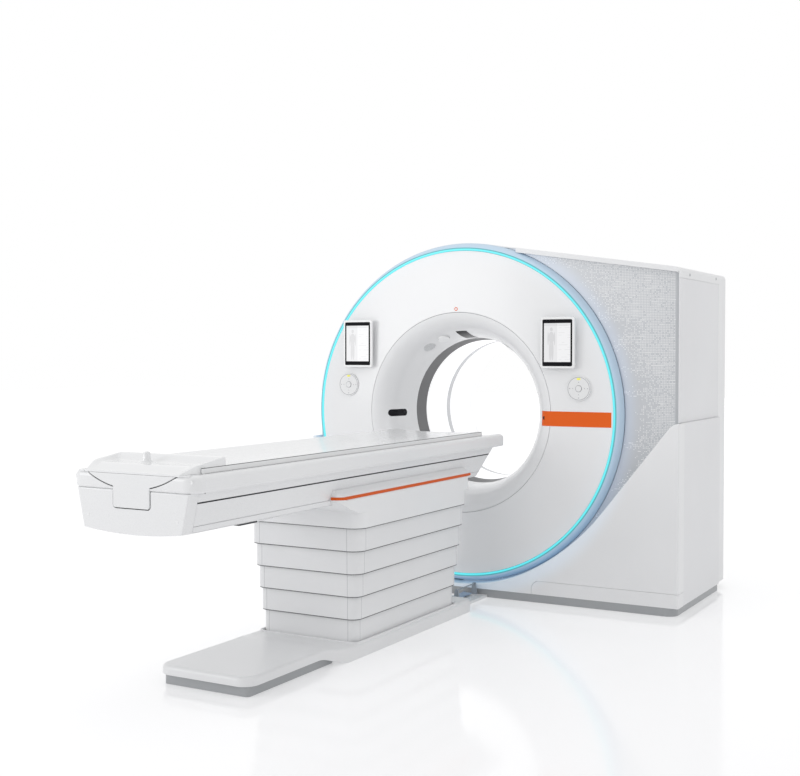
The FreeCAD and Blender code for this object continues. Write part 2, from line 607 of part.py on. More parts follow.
def build_fittings():
    behind_disc = turn_face(disc_outline(-500))
    tablets, docks = [], []
    for x in (TABLET_LEFT_X, TABLET_RIGHT_X):
        outline = rectangle(x - TABLET_W / 2, x + TABLET_W / 2, TABLET_MID_Z - TABLET_H / 2,
                            TABLET_MID_Z + TABLET_H / 2, 12)
        back = TABLET_FACE_Y + TABLET_T
        tablets.append(prism_y(outline, TABLET_FACE_Y, back))
        dock = prism_y(outline, back, RING_Y, 30)
        docks.append(dock.cut(behind_disc))
    save("tablets", Part.makeCompound(tablets))
    save("tablet_docks", Part.makeCompound(docks))

    dials = []
    for side, (x, z) in DIAL_PLACES.items():
        dial = drum(DIAL_R, DIAL_FACE_Y, RING_Y, x, z).cut(behind_disc)
        dials.append(dial.cut(drum(BUTTON_R + SIDE_CLEAR, -800, -500, x, z)))
        front = DIAL_FACE_Y - BUTTON_PROUD
        save("dial_button_" + side, drum(BUTTON_R, front, DIAL_FACE_Y + 3.5, x, z))
    save("control_dials", Part.makeCompound(dials))

    disc = turn_face(disc_outline())
    disc_part = disc.translated(V(0, -SKIN, 0)).cut(disc)
    band = box(STRIPE_X0, STRIPE_X1, -800, -500, ISO_Z - 20 - STRIPE_HALF, ISO_Z - 20 + STRIPE_HALF)
    stripe = disc_part.common(band).fuse(funnel_skin(SKIN).common(band))
    save("accent_stripe", stripe)

    reach = (ISO_Z + 300, ISO_Z + 600)
    display = box(-DISPLAY_HALF, DISPLAY_HALF, DISPLAY_Y0, DISPLAY_Y1, *reach)
    save("funnel_display", funnel_skin(SKIN).common(around_bore(display, DISPLAY_ANGLE)))
    dome = Part.makeCylinder(DOME_R, 300, V(0, DOME_Y, ISO_Z + 300))
    save("status_dome", funnel_skin(DOME_PROUD).common(around_bore(dome, DOME_ANGLE)))
    grille = Part.makeCylinder(GRILLE_R, 300, V(0, GRILLE_Y, ISO_Z + 300))
    grilles = [funnel_skin(SKIN).common(around_bore(grille, a)) for a in GRILLE_ANGLES]
    save("speaker_grilles", Part.makeCompound(grilles))
    pill = prism_x(rectangle(PILL_Y0, PILL_Y1, ISO_Z - 16 - PILL_HALF, ISO_Z - 16 + PILL_HALF,
                             PILL_HALF - 0.5), -600, -400)
    save("sensor_window", funnel_skin(SKIN).common(pill))


# ---------------------------------------------------------------- table base and column
def shell_corners(step):
    """Plan of a column shell, step places inside the head cover."""
    half_x = COLUMN_HALF_X - SHELL_STEP * step
    half_y = COLUMN_HALF_Y - SHELL_STEP * step
    return rectangle(-half_x, half_x, COLUMN_Y - half_y, COLUMN_Y + half_y,
                     COLUMN_R - SHELL_STEP * step / 2)


def column_wall(step, z0, z1):
    outer = prism_z(shell_corners(step), z0, z1)
    return outer.cut(prism_z(shell_corners(step), z0 - 1, z1 + 1, SHELL_T))


def build_column():
    rise = (HEAD_COVER_Z - BASE_TOP) / BANDS
    for band in range(1, BANDS + 1):
        low = BASE_TOP + rise * (band - 1)
        high = low + rise + SHELL_LAP
        step = BANDS + 1 - band
        guide = prism_z(shell_corners(step), high - GUIDE_H, high, SHELL_T + RUN_GAP - SHELL_STEP)
        guide = guide.cut(prism_z(shell_corners(step), low, high + 1, SHELL_T))
        save("column_shell_%d" % band, column_wall(step, low, high).fuse(guide))


def build_base_cover():
    wall = SHELL_T
    base = rectangle(-BASE_HALF_X, BASE_HALF_X, BASE_FOOT_Y, BASE_HEAD_Y, 60)
    foot = rectangle(-FOOT_HALF_X, FOOT_HALF_X, FOOT_Y, FOOT_BACK_Y + 10, 35)
    ramp = [(FOOT_BACK_Y, FOOT_BOTTOM, 0), (BASE_FOOT_Y + 40, FOOT_BOTTOM, 0),
            (BASE_FOOT_Y + 40, BASE_TOP - 1, 0), (BASE_FOOT_Y + 10, BASE_TOP, 30),
            (FOOT_BACK_Y + 20, FOOT_TOP, 30), (FOOT_BACK_Y, FOOT_TOP, 0)]
    outer = fuse([prism_z(base, 0, BASE_TOP),
                  prism_z(foot, FOOT_BOTTOM, FOOT_TOP),
                  prism_x(ramp, -FOOT_HALF_X, FOOT_HALF_X)])
    inner = fuse([prism_z(base, -1, BASE_TOP - wall, wall),
                  prism_z(foot, -1, FOOT_TOP - wall, wall),
                  prism_x(ramp, -FOOT_HALF_X + wall, FOOT_HALF_X - wall, 0.0)
                  .translated(V(0, 0, -wall))])
    cover = outer.cut(inner)
    opening = prism_z(shell_corners(BANDS), 0, 200, SHELL_T + 1)
    tongue_slot = box(-TONGUE_HALF, TONGUE_HALF, BASE_FOOT_Y - 10, BASE_FOOT_Y + 10, -1, FRAME_T)
    save("table_base_cover", cover.cut(opening).cut(tongue_slot))

    plinth = rectangle(-FOOT_HALF_X + FOOT_INSET, FOOT_HALF_X - FOOT_INSET, FOOT_Y + FOOT_INSET,
                       BASE_FOOT_Y, 20)
    ceiling = FOOT_TOP - wall
    ring_wall = prism_z(plinth, 0, ceiling).cut(prism_z(plinth, -1, ceiling + 1, 6))
    under_ramp = box(-300, 300, FOOT_BACK_Y, BASE_FOOT_Y + 1, FOOT_BOTTOM - 1, 200)
    return ring_wall.cut(under_ramp).cut(tongue_slot)


def arm_ends(angle):
    """Y and Z of the far end of a scissor arm above its foot."""
    return ARM_LENGTH * cos(radians(angle)), ARM_LENGTH * sin(radians(angle))


ARM_RUN, ARM_RISE = arm_ends(ARM_REST)
ARM_TOP_Z = ARM_BASE_Z + ARM_RISE
ROLLER_Y = ARM_FOOT_Y + ARM_RUN
CHANNEL_Y0, CHANNEL_Y1 = ROLLER_Y - 60.0, ROLLER_Y + 215.0
CHANNEL_T = 4.0
CHANNEL_HALF = ROLLER_R + ROLLER_CLEAR


def channel(x_web, side, z_mid):
    """C channel along Y: web at x_web, lips towards side."""
    lip = 34.0
    x_lip = x_web + side * lip
    low, high = min(x_web, x_lip), max(x_web, x_lip)
    top, bottom = z_mid + CHANNEL_HALF, z_mid - CHANNEL_HALF
    body = box(low, high, CHANNEL_Y0, CHANNEL_Y1, bottom - CHANNEL_T, top + CHANNEL_T)
    x_in = x_web + side * CHANNEL_T
    x_out = x_lip + side
    room = box(min(x_in, x_out), max(x_in, x_out), CHANNEL_Y0 - 1, CHANNEL_Y1 + 1, bottom, top)
    return body.cut(room)


def lugs(arm_x, z_from, z_mid):
    """Two ears either side of an arm, from a plate at z_from, bored for the arm's pin."""
    gap, ear, half = ARM_T / 2 + 2, 8.0, 26.0
    ears = []
    for x0 in (arm_x - gap - ear, arm_x + gap):
        low, high = (z_from, z_mid + half) if z_from < z_mid else (z_mid - half, z_from)
        ears.append(box(x0, x0 + ear, ARM_FOOT_Y - half, ARM_FOOT_Y + half, low, high))
    bore = rod_x(PIN_R + PIN_CLEAR, arm_x - 60, arm_x + 60, ARM_FOOT_Y, z_mid)
    return [piece.cut(bore) for piece in ears]


def arm_bar(x, y0, z0, y1, z1):
    """Flat bar with round ends between two points."""
    turn = atan2(z1 - z0, y1 - y0)
    length = hypot(y1 - y0, z1 - z0)
    half = ARM_WIDTH / 2
    bar = box(x - ARM_T / 2, x + ARM_T / 2, 0, length, -half, half)
    bar = bar.fuse([rod_x(half, x - ARM_T / 2, x + ARM_T / 2, 0, 0),
                    rod_x(half, x - ARM_T / 2, x + ARM_T / 2, length, 0)])
    bar.rotate(V(0, 0, 0), V(1, 0, 0), degrees(turn))
    return bar.translated(V(0, y0, z0))


def build_scissor():
    """Two pairs of crossing arms, each pair tied by a cross tube."""
    reach = ARM_T / 2 + 9
    outer, inner = [], []
    for sx in (-1, 1):
        x = sx * OUTER_ARM_X
        outer.append(arm_bar(x, ARM_FOOT_Y, ARM_BASE_Z, ROLLER_Y, ARM_TOP_Z))
        outer.append(rod_x(PIN_R, x - reach, x + reach, ARM_FOOT_Y, ARM_BASE_Z))
        roller_x0 = min(x, x - sx * 32)
        outer.append(rod_x(ROLLER_R, roller_x0, roller_x0 + 32, ROLLER_Y, ARM_TOP_Z))
        x = sx * INNER_ARM_X
        inner.append(arm_bar(x, ARM_FOOT_Y, ARM_TOP_Z, ROLLER_Y, ARM_BASE_Z))
        inner.append(rod_x(PIN_R, x - reach, x + reach, ARM_FOOT_Y, ARM_TOP_Z))
        roller_x0 = min(x, x - sx * 32)
        inner.append(rod_x(ROLLER_R, roller_x0, roller_x0 + 32, ROLLER_Y, ARM_BASE_Z))
    tie = 0.22
    outer.append(rod_x(12, -OUTER_ARM_X, OUTER_ARM_X, ARM_FOOT_Y + ARM_RUN * tie,
                       ARM_BASE_Z + ARM_RISE * tie))
    inner.append(rod_x(12, -INNER_ARM_X, INNER_ARM_X, ARM_FOOT_Y + ARM_RUN * (1 - tie),
                       ARM_BASE_Z + ARM_RISE * tie))
    save("scissor_outer", fuse(outer))
    save("scissor_inner", fuse(inner))


def build_table_frames():
    half_x = COLUMN_HALF_X - SHELL_STEP * BANDS - SHELL_T - 12
    foot_y, head_y = ARM_FOOT_Y - 32, CHANNEL_Y1
    plate = box(-half_x, half_x, foot_y, head_y, 0, FRAME_T)
    tongue = box(-TONGUE_HALF, TONGUE_HALF, FOOT_Y + 50, foot_y + 1, 0, FRAME_T)
    pieces = [plate, tongue]
    floor = FRAME_T
    for sx in (-1, 1):
        pieces += lugs(sx * OUTER_ARM_X, floor, ARM_BASE_Z)
        web = sx * (INNER_ARM_X - 42)
        pieces.append(channel(web, sx, ARM_BASE_Z))
        low, high = min(web, web + sx * 34), max(web, web + sx * 34)
        pieces.append(box(low, high, CHANNEL_Y0, CHANNEL_Y1, floor - 1,
                          ARM_BASE_Z - CHANNEL_HALF - CHANNEL_T))
        pieces.append(box(sx * half_x - 6, sx * half_x + 6, COLUMN_Y - 200, COLUMN_Y + 200, 0, 40))
    frame = fuse(pieces)
    for sx in (-1, 1):
        for sy in (-1, 1):
            at = V(sx * TABLE_ANCHOR_X / 2, COLUMN_Y + sy * TABLE_ANCHOR_Y / 2, -1)
            frame = frame.cut(Part.makeCylinder(TABLE_ANCHOR_R, FRAME_T + 2, at))
    wide = COLUMN_HALF_X - SHELL_STEP * BANDS
    outrigger = box(-wide + SHELL_T + 1.5, wide - SHELL_T - 1.5, COLUMN_Y - 30, COLUMN_Y + 30, 0, 30)
    outrigger = outrigger.fuse(box(-BASE_HALF_X + SHELL_T, BASE_HALF_X - SHELL_T, COLUMN_Y - 30,
                                   COLUMN_Y + 30, 0, 30))
    save("table_base_frame", frame.fuse(outrigger))

    plate_z = ARM_TOP_Z + CHANNEL_HALF + CHANNEL_T
    plate = box(-half_x, half_x, foot_y, head_y, plate_z, plate_z + 12)
    riser = box(-150, 150, COLUMN_Y - 270, COLUMN_Y + 270, plate_z + 11, HULL_BOTTOM)
    pieces = [plate, riser]
    for sx in (-1, 1):
        pieces += lugs(sx * INNER_ARM_X, plate_z + 1, ARM_TOP_Z)
        pieces.append(channel(sx * (OUTER_ARM_X - 42), sx, ARM_TOP_Z))
    save("table_head_frame", fuse(pieces))


# ---------------------------------------------------------------- head cover and hull
STRIPE_Z0, STRIPE_Z1 = 724.0, 733.0
SHOULDER_Y0, SHOULDER_Y1 = -2390.0, -1137.0
SHOULDER_LOW = 655.0       # where the shoulder starts to flare from the column
HEAD_TOP_HALF = 262.0
HEAD_TOP = 762.0


def hull_section(inset=0.0):
    """Front outline of the hull: flat bottom, leaning sides, rim along the top."""
    return shifted([
        (-HULL_BOTTOM_HALF, HULL_BOTTOM, 12), (HULL_BOTTOM_HALF, HULL_BOTTOM, 12),
        (HULL_SIDE_HALF, HULL_SIDE_TOP, 0), (RIM_HALF, HULL_SIDE_TOP + 6, RIM_R * 0.6),
        (RIM_HALF, RIM_TOP, RIM_R), (-RIM_HALF, RIM_TOP, RIM_R),
        (-RIM_HALF, HULL_SIDE_TOP + 6, RIM_R * 0.6), (-HULL_SIDE_HALF, HULL_SIDE_TOP, 0)], inset)


def behind_nose(offset):
    """Block in front of the slanting nose, under the rim, moved back by offset."""
    top = HULL_SIDE_TOP + 6 - offset
    return prism_x([(NOSE_BACK_Y - offset, HULL_BOTTOM - 5, 0), (0, HULL_BOTTOM - 5, 0),
                    (0, top, 0), (NOSE_FRONT_Y - offset, top, 0)], -400, 400)


def build_hull():
    far = 1000
    outer = prism_y(hull_section(), HULL_FOOT_Y, HULL_HEAD_Y).cut(behind_nose(0))
    outer = outer.cut(box(-TOP_HALF - 4, TOP_HALF + 4, TOP_HEAD_Y + 5, HULL_HEAD_Y + 1, NOSE_TOP, far))
    inner = prism_y(hull_section(HULL_T), HULL_FOOT_Y - 1, TOP_HEAD_Y).cut(behind_nose(HULL_T))
    mouth = box(-TOP_HALF - 4, TOP_HALF + 4, HULL_FOOT_Y - 1, TOP_HEAD_Y + 6, HULL_SIDE_TOP, far)
    nose = prism_y(rectangle(-RIM_HALF + HULL_T, RIM_HALF - HULL_T, HULL_SIDE_TOP + 11,
                             NOSE_TOP - HULL_T), TOP_HEAD_Y - 5, HULL_HEAD_Y - HULL_T)
    shell = outer.cut(inner).cut(mouth).cut(nose)
    rail = box(RAIL_X, RIM_HALF - HULL_T + 1, HULL_FOOT_Y, TOP_HEAD_Y, HULL_SIDE_TOP + 4, RAIL_TOP)
    save("hull_shell", fuse([shell] + both_sides(rail).Solids))


def grip_outline(y0, y1, gap=0.0):
    """Smile-shaped end of the tabletop with a grip tab below, grown by gap."""
    half = GRIP_HALF + 20
    smile_z = TOP_BOTTOM - GRIP_SAG
    smile = drum(GRIP_R + gap, y0, y1, 0, smile_z + GRIP_R)
    smile = smile.common(box(-half, half, y0, y1, smile_z - 20, TOP_BOTTOM + gap * 4))
    tab = prism_y(rectangle(-GRIP_TAB_HALF - gap, GRIP_TAB_HALF + gap, GRIP_TAB_Z - gap,
                            TOP_BOTTOM, 12), y0, y1)
    return smile.fuse(tab)


def build_hull_end():
    cap_y = HULL_FOOT_Y - END_CAP_T
    cap = prism_y(hull_section(), cap_y, HULL_FOOT_Y)
    above = box(-TOP_HALF - 4, TOP_HALF + 4, cap_y - 1, HULL_FOOT_Y + 1, TOP_BOTTOM - RUN_GAP, 1000)
    cap = cap.cut(above).cut(grip_outline(cap_y - 1, HULL_FOOT_Y + 1, 2.5))
    save("hull_end_cap", cap)
    save("tabletop_end_grip", grip_outline(cap_y, cap_y + 14))
    return cap_y


def build_tabletop(foot_y):
    half, low, edge = TOP_HALF, TOP_BOTTOM, TOP_EDGE
    dish = edge - TOP_DISH
    lip = 14.0
    edges = [
        Part.makeLine(V(-half, foot_y, low), V(half, foot_y, low)),
        Part.makeLine(V(half, foot_y, low), V(half, foot_y, edge)),
        Part.makeLine(V(half, foot_y, edge), V(half - lip, foot_y, edge)),
        Part.Arc(V(half - lip, foot_y, edge), V(0, foot_y, dish),
                 V(-half + lip, foot_y, edge)).toShape(),
        Part.makeLine(V(-half + lip, foot_y, edge), V(-half, foot_y, edge)),
        Part.makeLine(V(-half, foot_y, edge), V(-half, foot_y, low)),
    ]
    board = Part.Face(Part.Wire(edges)).extrude(V(0, TOP_HEAD_Y - foot_y, 0))
    save("tabletop", board)

    tray_back = foot_y + TRAY_LENGTH
    tray_outline = rectangle(-half + 12, half - 12, foot_y + 8, tray_back, 18)
    rim_top = edge + TRAY_RISE
    slope = prism_x([(foot_y, edge - 20, 0), (tray_back + 1, edge - 20, 0), (tray_back + 1, rim_top, 0),
                     (tray_back - 90, rim_top, 0), (foot_y, edge + 3, 0)], -half, half)
    solid = prism_z(tray_outline, edge - 20, rim_top).common(slope)
    pocket = prism_z(tray_outline, edge + 2, rim_top + 1, 10)
    front = box(-half + 22, half - 22, foot_y, foot_y + 60, edge + 2, rim_top)
    post = Part.makeCylinder(14, 46, V(-50, foot_y + 145, edge - 2))
    tray = solid.cut(pocket).cut(front).fuse(post).cut(board)
    save("tabletop_tray", tray)

    ends = (CARRIAGE_FOOT_Y, CARRIAGE_HEAD_Y)
    keel = RAIL_X - RUN_GAP
    seat = RAIL_TOP + RUN_GAP
    low_plate = box(-keel, keel, *ends, RAIL_TOP - 12, seat)
    wings = box(-CARRIAGE_HALF, CARRIAGE_HALF, *ends, seat, seat + 10)
    block = box(-200, 200, *ends, seat + 9, TOP_BOTTOM - RUN_GAP)
    save("table_carriage", fuse([low_plate, wings, block]))


def build_head_cover():
    lower = column_wall(0, HEAD_COVER_Z, HEAD_CEILING_Z)
    shoulder_section = [(-COLUMN_HALF_X, SHOULDER_LOW, 0), (COLUMN_HALF_X, SHOULDER_LOW, 0),
                        (COLUMN_HALF_X, STRIPE_Z0 - 8, 8), (COLUMN_HALF_X - 9, STRIPE_Z0, 0),
                        (COLUMN_HALF_X - 9, STRIPE_Z1 + 6, 4), (HEAD_TOP_HALF, HEAD_TOP, 3),
                        (-HEAD_TOP_HALF, HEAD_TOP, 3), (-COLUMN_HALF_X + 9, STRIPE_Z1 + 6, 4),
                        (-COLUMN_HALF_X + 9, STRIPE_Z0, 0), (-COLUMN_HALF_X, STRIPE_Z0 - 8, 8)]
    top = prism_y(shoulder_section, SHOULDER_Y0, SHOULDER_Y1)
    plan = rectangle(-COLUMN_HALF_X, COLUMN_HALF_X, SHOULDER_Y0, SHOULDER_Y1, 60)
    top = top.common(prism_z(plan, 600, 900))
    column_foot_y = COLUMN_Y - COLUMN_HALF_Y
    flare = [(column_foot_y, SHOULDER_LOW, 0), (SHOULDER_Y1 - 30, SHOULDER_LOW, 0),
             (SHOULDER_Y1, STRIPE_Z0 - 24, 0), (SHOULDER_Y1, 900, 0), (SHOULDER_Y0 + 45, 900, 0),
             (SHOULDER_Y0, STRIPE_Z0 - 8, 0), (SHOULDER_Y0 + 60, HULL_BOTTOM - 14, 60)]
    top = top.common(prism_x(flare, -400, 400))
    top = top.cut(prism_z(shell_corners(0), 600, HEAD_CEILING_Z, SHELL_T))
    hull_room = prism_y(hull_section(), -3000, 0)
    top = top.cut(hull_room)
    top = top.cut(box(-160, 160, COLUMN_Y - 280, COLUMN_Y + 280, 600, 800))
    save("table_head_cover", lower.fuse(top).cut(hull_room))

    strip = box(COLUMN_HALF_X - 9, COLUMN_HALF_X - 6, SHOULDER_Y0 + 60, SHOULDER_Y1 - 40,
                STRIPE_Z0, STRIPE_Z1)
    save("head_accent_strip", both_sides(strip))


# ---------------------------------------------------------------- floor switch
SWITCH_X0, SWITCH_X1 = 60.0, 190.0
FIN_X = 58.0              # middle of the guard's fins, from the plate's left edge
FIN_TOP = 78.0
HINGE_Z = 24.0
SWITCH_PIN_R = 4.0


def build_floor_switch():
    x0, x1 = SWITCH_X0, SWITCH_X1
    y0, y1 = BASE_HEAD_Y, LOWER_FRONT_Y + 3
    plate = box(x0, x1, y0, y1, 0, 14)
    post_y = (BASE_HEAD_Y + 115, LOWER_FRONT_Y - 15)
    pieces = [plate]
    for y in post_y:
        fin = x0 + FIN_X
        pieces.append(prism_y([(fin - 18, 13, 0), (fin + 18, 13, 0), (fin + 8, FIN_TOP, 5),
                               (fin - 8, FIN_TOP, 5)], y - 6, y + 6))
    pieces.append(drum(4, post_y[0], post_y[1], x0 + FIN_X, FIN_TOP - 6))
    hinge_x, hinge_z = x0 + 12, HINGE_Z
    lug_y = (post_y[0] + 30, post_y[1] - 30)
    for y in lug_y:
        lug = box(hinge_x - 9, hinge_x + 9, y - 5, y + 5, 13, hinge_z + 8)
        pieces.append(lug.cut(drum(SWITCH_PIN_R + PIN_CLEAR, y - 10, y + 10, hinge_x, hinge_z)))
    save("guard_bar", fuse(pieces))

    pedal = box(hinge_x - 4, x0 + 60, lug_y[0] + 7, lug_y[1] - 7, hinge_z - 3, hinge_z + 3)
    pin = drum(SWITCH_PIN_R, lug_y[0] - 5, lug_y[1] + 5, hinge_x, hinge_z)
    save("floor_pedal", pedal.fuse(pin))


build_housing()
build_lower_fronts()
build_upper_panel()
gantry_plinth, plinth_left, plinth_right = build_plinth()
build_ring_and_bore()
rotor_places = build_gantry_frame(plinth_left, plinth_right)
build_rotor(*rotor_places)
build_fittings()
build_column()
foot_plinth = build_base_cover()
save("floor_plinths", Part.makeCompound([gantry_plinth, foot_plinth]))
build_scissor()
build_table_frames()
build_hull()
board_foot_y = build_hull_end()
build_tabletop(board_foot_y)
build_head_cover()
build_floor_switch()
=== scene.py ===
import json
from math import cos, hypot, pi, radians, sin

import bmesh
import bpy
from mathutils import Matrix, Vector


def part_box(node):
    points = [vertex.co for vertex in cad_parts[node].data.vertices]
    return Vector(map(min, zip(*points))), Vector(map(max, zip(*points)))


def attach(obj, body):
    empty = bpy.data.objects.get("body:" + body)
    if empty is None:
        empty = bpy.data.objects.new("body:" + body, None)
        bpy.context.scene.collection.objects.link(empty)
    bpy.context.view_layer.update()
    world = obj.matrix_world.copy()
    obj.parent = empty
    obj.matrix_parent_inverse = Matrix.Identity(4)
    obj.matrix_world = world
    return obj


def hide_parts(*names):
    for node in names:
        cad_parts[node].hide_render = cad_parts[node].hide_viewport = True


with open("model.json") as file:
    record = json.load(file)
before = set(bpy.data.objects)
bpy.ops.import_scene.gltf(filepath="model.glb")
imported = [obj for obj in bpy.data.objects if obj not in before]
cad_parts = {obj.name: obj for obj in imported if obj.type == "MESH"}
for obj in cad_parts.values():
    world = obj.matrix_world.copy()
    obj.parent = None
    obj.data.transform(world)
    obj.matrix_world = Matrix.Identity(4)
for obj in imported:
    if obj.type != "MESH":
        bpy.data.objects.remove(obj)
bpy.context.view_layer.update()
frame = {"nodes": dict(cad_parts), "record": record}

# Camera ------------------------------------------------------------------------
# Stands on the right of the table's foot end at chest height, looking across the
# table at the gantry front. It is placed from the light ring, the largest round part.
ring_low, ring_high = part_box("light_ring")
ring_plane = ring_low.y + 0.005
axis_z = (ring_low.z + ring_high.z) / 2
camera = bpy.data.objects.new("camera", bpy.data.cameras.new("camera"))
camera.location = (3.0478, ring_plane - 6.0657, axis_z + 0.3324)
camera.rotation_euler = (radians(88.3454), 0, radians(29.478))
camera.data.lens = 54.37
camera.data.sensor_width = 36
bpy.context.scene.collection.objects.link(camera)
bpy.context.scene.camera = camera


# Studio ------------------------------------------------------------------------
# White room: a polished pale floor that reflects the scanner faintly, an even white
# surround, and large soft lamps high on the left, on the right and overhead.
def tune(node, **inputs):
    """Set a shader node's inputs, named or numbered (i0, i1), to values or links."""
    for key, value in inputs.items():
        numbered = key[0] == "i" and key[1:].isdigit()
        socket = node.inputs[int(key[1:])] if numbered else node.inputs[key.replace("_", " ")]
        if isinstance(value, bpy.types.NodeSocket):
            node.id_data.links.new(value, socket)
        else:
            socket.default_value = value
    return node


def wire(tree, kind, settings=None, **inputs):
    """Add a shader node with its settings and inputs."""
    made = tree.nodes.new("ShaderNode" + kind)
    for key, value in (settings or {}).items():
        setattr(made, key, value)
    return tune(made, **inputs)


def remap(tree, value, low, high, start=0.0, end=1.0, ease="LINEAR"):
    """Turn the span from start to end into the span from low to high."""
    return wire(tree, "MapRange", {"interpolation_type": ease}, i0=value, i1=start, i2=end,
                i3=low, i4=high).outputs[0]


def calc(tree, operation, a, b=0.0, c=0.0):
    return wire(tree, "Math", {"operation": operation}, i0=a, i1=b, i2=c).outputs[0]


def new_finish(name):
    """Empty material with its node tree, its shader and the Object coordinates."""
    material = bpy.data.materials.new(name)
    material.use_nodes = True
    tree = material.node_tree
    place = wire(tree, "TexCoord").outputs["Object"]
    return material, tree, tree.nodes["Principled BSDF"], place


scene = bpy.context.scene
scene.view_settings.view_transform = "Standard"
room = bpy.data.worlds.new("white_room")
scene.world = room
room.use_nodes = True
sky = room.node_tree
ray = wire(sky, "LightPath")
level = remap(sky, ray.outputs["Is Diffuse Ray"], 1.0, 0.74)
tune(sky.nodes["Background"], Color=(1, 1, 1, 1), Strength=level)

floor_mesh = bpy.data.meshes.new("floor")
bm = bmesh.new()
bmesh.ops.create_grid(bm, x_segments=1, y_segments=1, size=30, matrix=Matrix.Translation((0, 0, -0.0005)))
bm.to_mesh(floor_mesh)
bm.free()
floor = bpy.data.objects.new("floor", floor_mesh)
scene.collection.objects.link(floor)
material, tree, shader, place = new_finish("polished_floor")
tune(shader, Base_Color=(0.72, 0.72, 0.73, 1), Roughness=0.10, IOR=1.38, Emission_Color=(1, 1, 1, 1),
     Emission_Strength=0.30)
floor_mesh.materials.append(material)


def soft_lamp(name, at, aim, size, watts):
    lamp = bpy.data.lights.new(name, "AREA")
    lamp.shape, lamp.size, lamp.energy = "SQUARE", size, watts
    stand = bpy.data.objects.new(name, lamp)
    stand.location = at
    stand.rotation_euler = (Vector(aim) - Vector(at)).to_track_quat("-Z", "Y").to_euler()
    scene.collection.objects.link(stand)


soft_lamp("lamp_left", (-3.8, -7.0, 2.3), (0, -1.8, 0.7), 3.0, 76)
soft_lamp("lamp_overhead", (0.3, -2.2, 4.6), (0, -1.6, 0), 4.0, 27)
soft_lamp("lamp_right", (6.0, -2.5, 2.6), (0.8, -0.8, 0.9), 2.5, 13)


# Housing covers ----------------------------------------------------------------
# Painted, moulded covers clipped round the gantry frame with thin open joints. Each
# keeps its CAD shape, with doubles merged, flats joined and the edges eased.
def merged_copy(*nodes):
    bm = bmesh.new()
    for node in nodes:
        bm.from_mesh(frame["nodes"][node].data)
    bmesh.ops.remove_doubles(bm, verts=bm.verts, dist=2e-5)
    bmesh.ops.dissolve_limit(bm, angle_limit=radians(0.4), verts=bm.verts, edges=bm.edges)
    bmesh.ops.recalc_face_normals(bm, faces=bm.faces)
    return bm


def cut_across(bm, axis, at, facing=1, clear=False):
    """Cut new edges at a level of one axis, and clear what lies past it if asked."""
    where, way = [0, 0, 0], [0, 0, 0]
    where[axis], way[axis] = at, facing
    bmesh.ops.bisect_plane(bm, geom=bm.verts[:] + bm.edges[:] + bm.faces[:], plane_co=where,
                           plane_no=way, clear_outer=clear)


def round_edges(bm, radius, chosen=None, segments=3, sharper=30):
    """Bevel the edges that turn by more than an angle, or those of them that are chosen."""
    edges = [e for e in bm.edges if len(e.link_faces) == 2
             and e.calc_face_angle(0) > radians(sharper) and (chosen is None or chosen(e))]
    bmesh.ops.bevel(bm, geom=edges, offset=radius, offset_type="OFFSET", segments=segments,
                    profile=0.5, affect="EDGES", clamp_overlap=True, material=-1)


def place_piece(bm, name, materials, body, slot, *nodes):
    """Turn a bmesh into a finished piece that rides on a body."""
    mesh = bpy.data.meshes.new(name)
    bm.to_mesh(mesh)
    bm.free()
    if "custom_normal" in mesh.attributes:
        mesh.attributes.remove(mesh.attributes["custom_normal"])
    for material in materials if isinstance(materials, (list, tuple)) else [materials]:
        mesh.materials.append(material)
    for polygon in mesh.polygons:
        polygon.use_smooth = True
    mesh.set_sharp_from_angle(angle=radians(34))
    piece = bpy.data.objects.new(name, mesh)
    scene.collection.objects.link(piece)
    weight = piece.modifiers.new("even_shading", "WEIGHTED_NORMAL")
    weight.keep_sharp = True
    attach(piece, body)
    if nodes:
        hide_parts(*nodes)
    return piece


def from_axis(tree, place):
    """Distance from the bore axis."""
    split = wire(tree, "SeparateXYZ", Vector=place)
    height = calc(tree, "SUBTRACT", split.outputs["Z"], axis_z)
    flat = wire(tree, "CombineXYZ", X=split.outputs["X"], Y=height)
    return wire(tree, "VectorMath", {"operation": "LENGTH"}, Vector=flat.outputs[0]).outputs["Value"]


def two_tone(tree, share, low, high, ends=(0.0, 1.0)):
    """Colour that runs from low to high between two ends of a share."""
    ramp = wire(tree, "ValToRGB", Fac=share)
    for stop, colour, at in zip(ramp.color_ramp.elements, (low, high), ends):
        stop.color, stop.position = (*colour, 1), at
    return ramp.outputs["Color"]


def moulded(name, colour, roughness=0.34, drift=0.02, texture=0.05, coat=0.0, painted_ring_glow=None):
    """Moulded plastic: slight drift of tone, fine spark-eroded texture, even gloss, and painted ring light if asked.
    """
    material, tree, shader, place = new_finish(name)
    cloud = wire(tree, "TexNoise", Vector=place, Scale=1.7, Detail=3.0).outputs["Fac"]
    grain = wire(tree, "TexNoise", Vector=place, Scale=420.0, Detail=2.0).outputs["Fac"]
    low = [c * (1 - drift) for c in colour]
    high = [min(1.0, c * (1 + drift)) for c in colour]
    bump = wire(tree, "Bump", Height=grain, Strength=texture, Distance=0.0004).outputs["Normal"]
    tune(shader, Base_Color=two_tone(tree, cloud, low, high, (0.3, 0.7)), Normal=bump,
         Roughness=remap(tree, grain, roughness - 0.05, roughness + 0.05),
         Coat_Weight=coat, Coat_Roughness=0.12)
    # Painted light: an emission that fades with distance from the bore axis stands in for the light ring's blue light
    # falling on this surface.
    if painted_ring_glow:
        inner, outer, light, strength = painted_ring_glow
        ring_glow_fade = remap(tree, from_axis(tree, place), strength, 0.0, inner, outer, "SMOOTHERSTEP")
        tune(shader, Emission_Color=(*light, 1), Emission_Strength=ring_glow_fade)
    return material


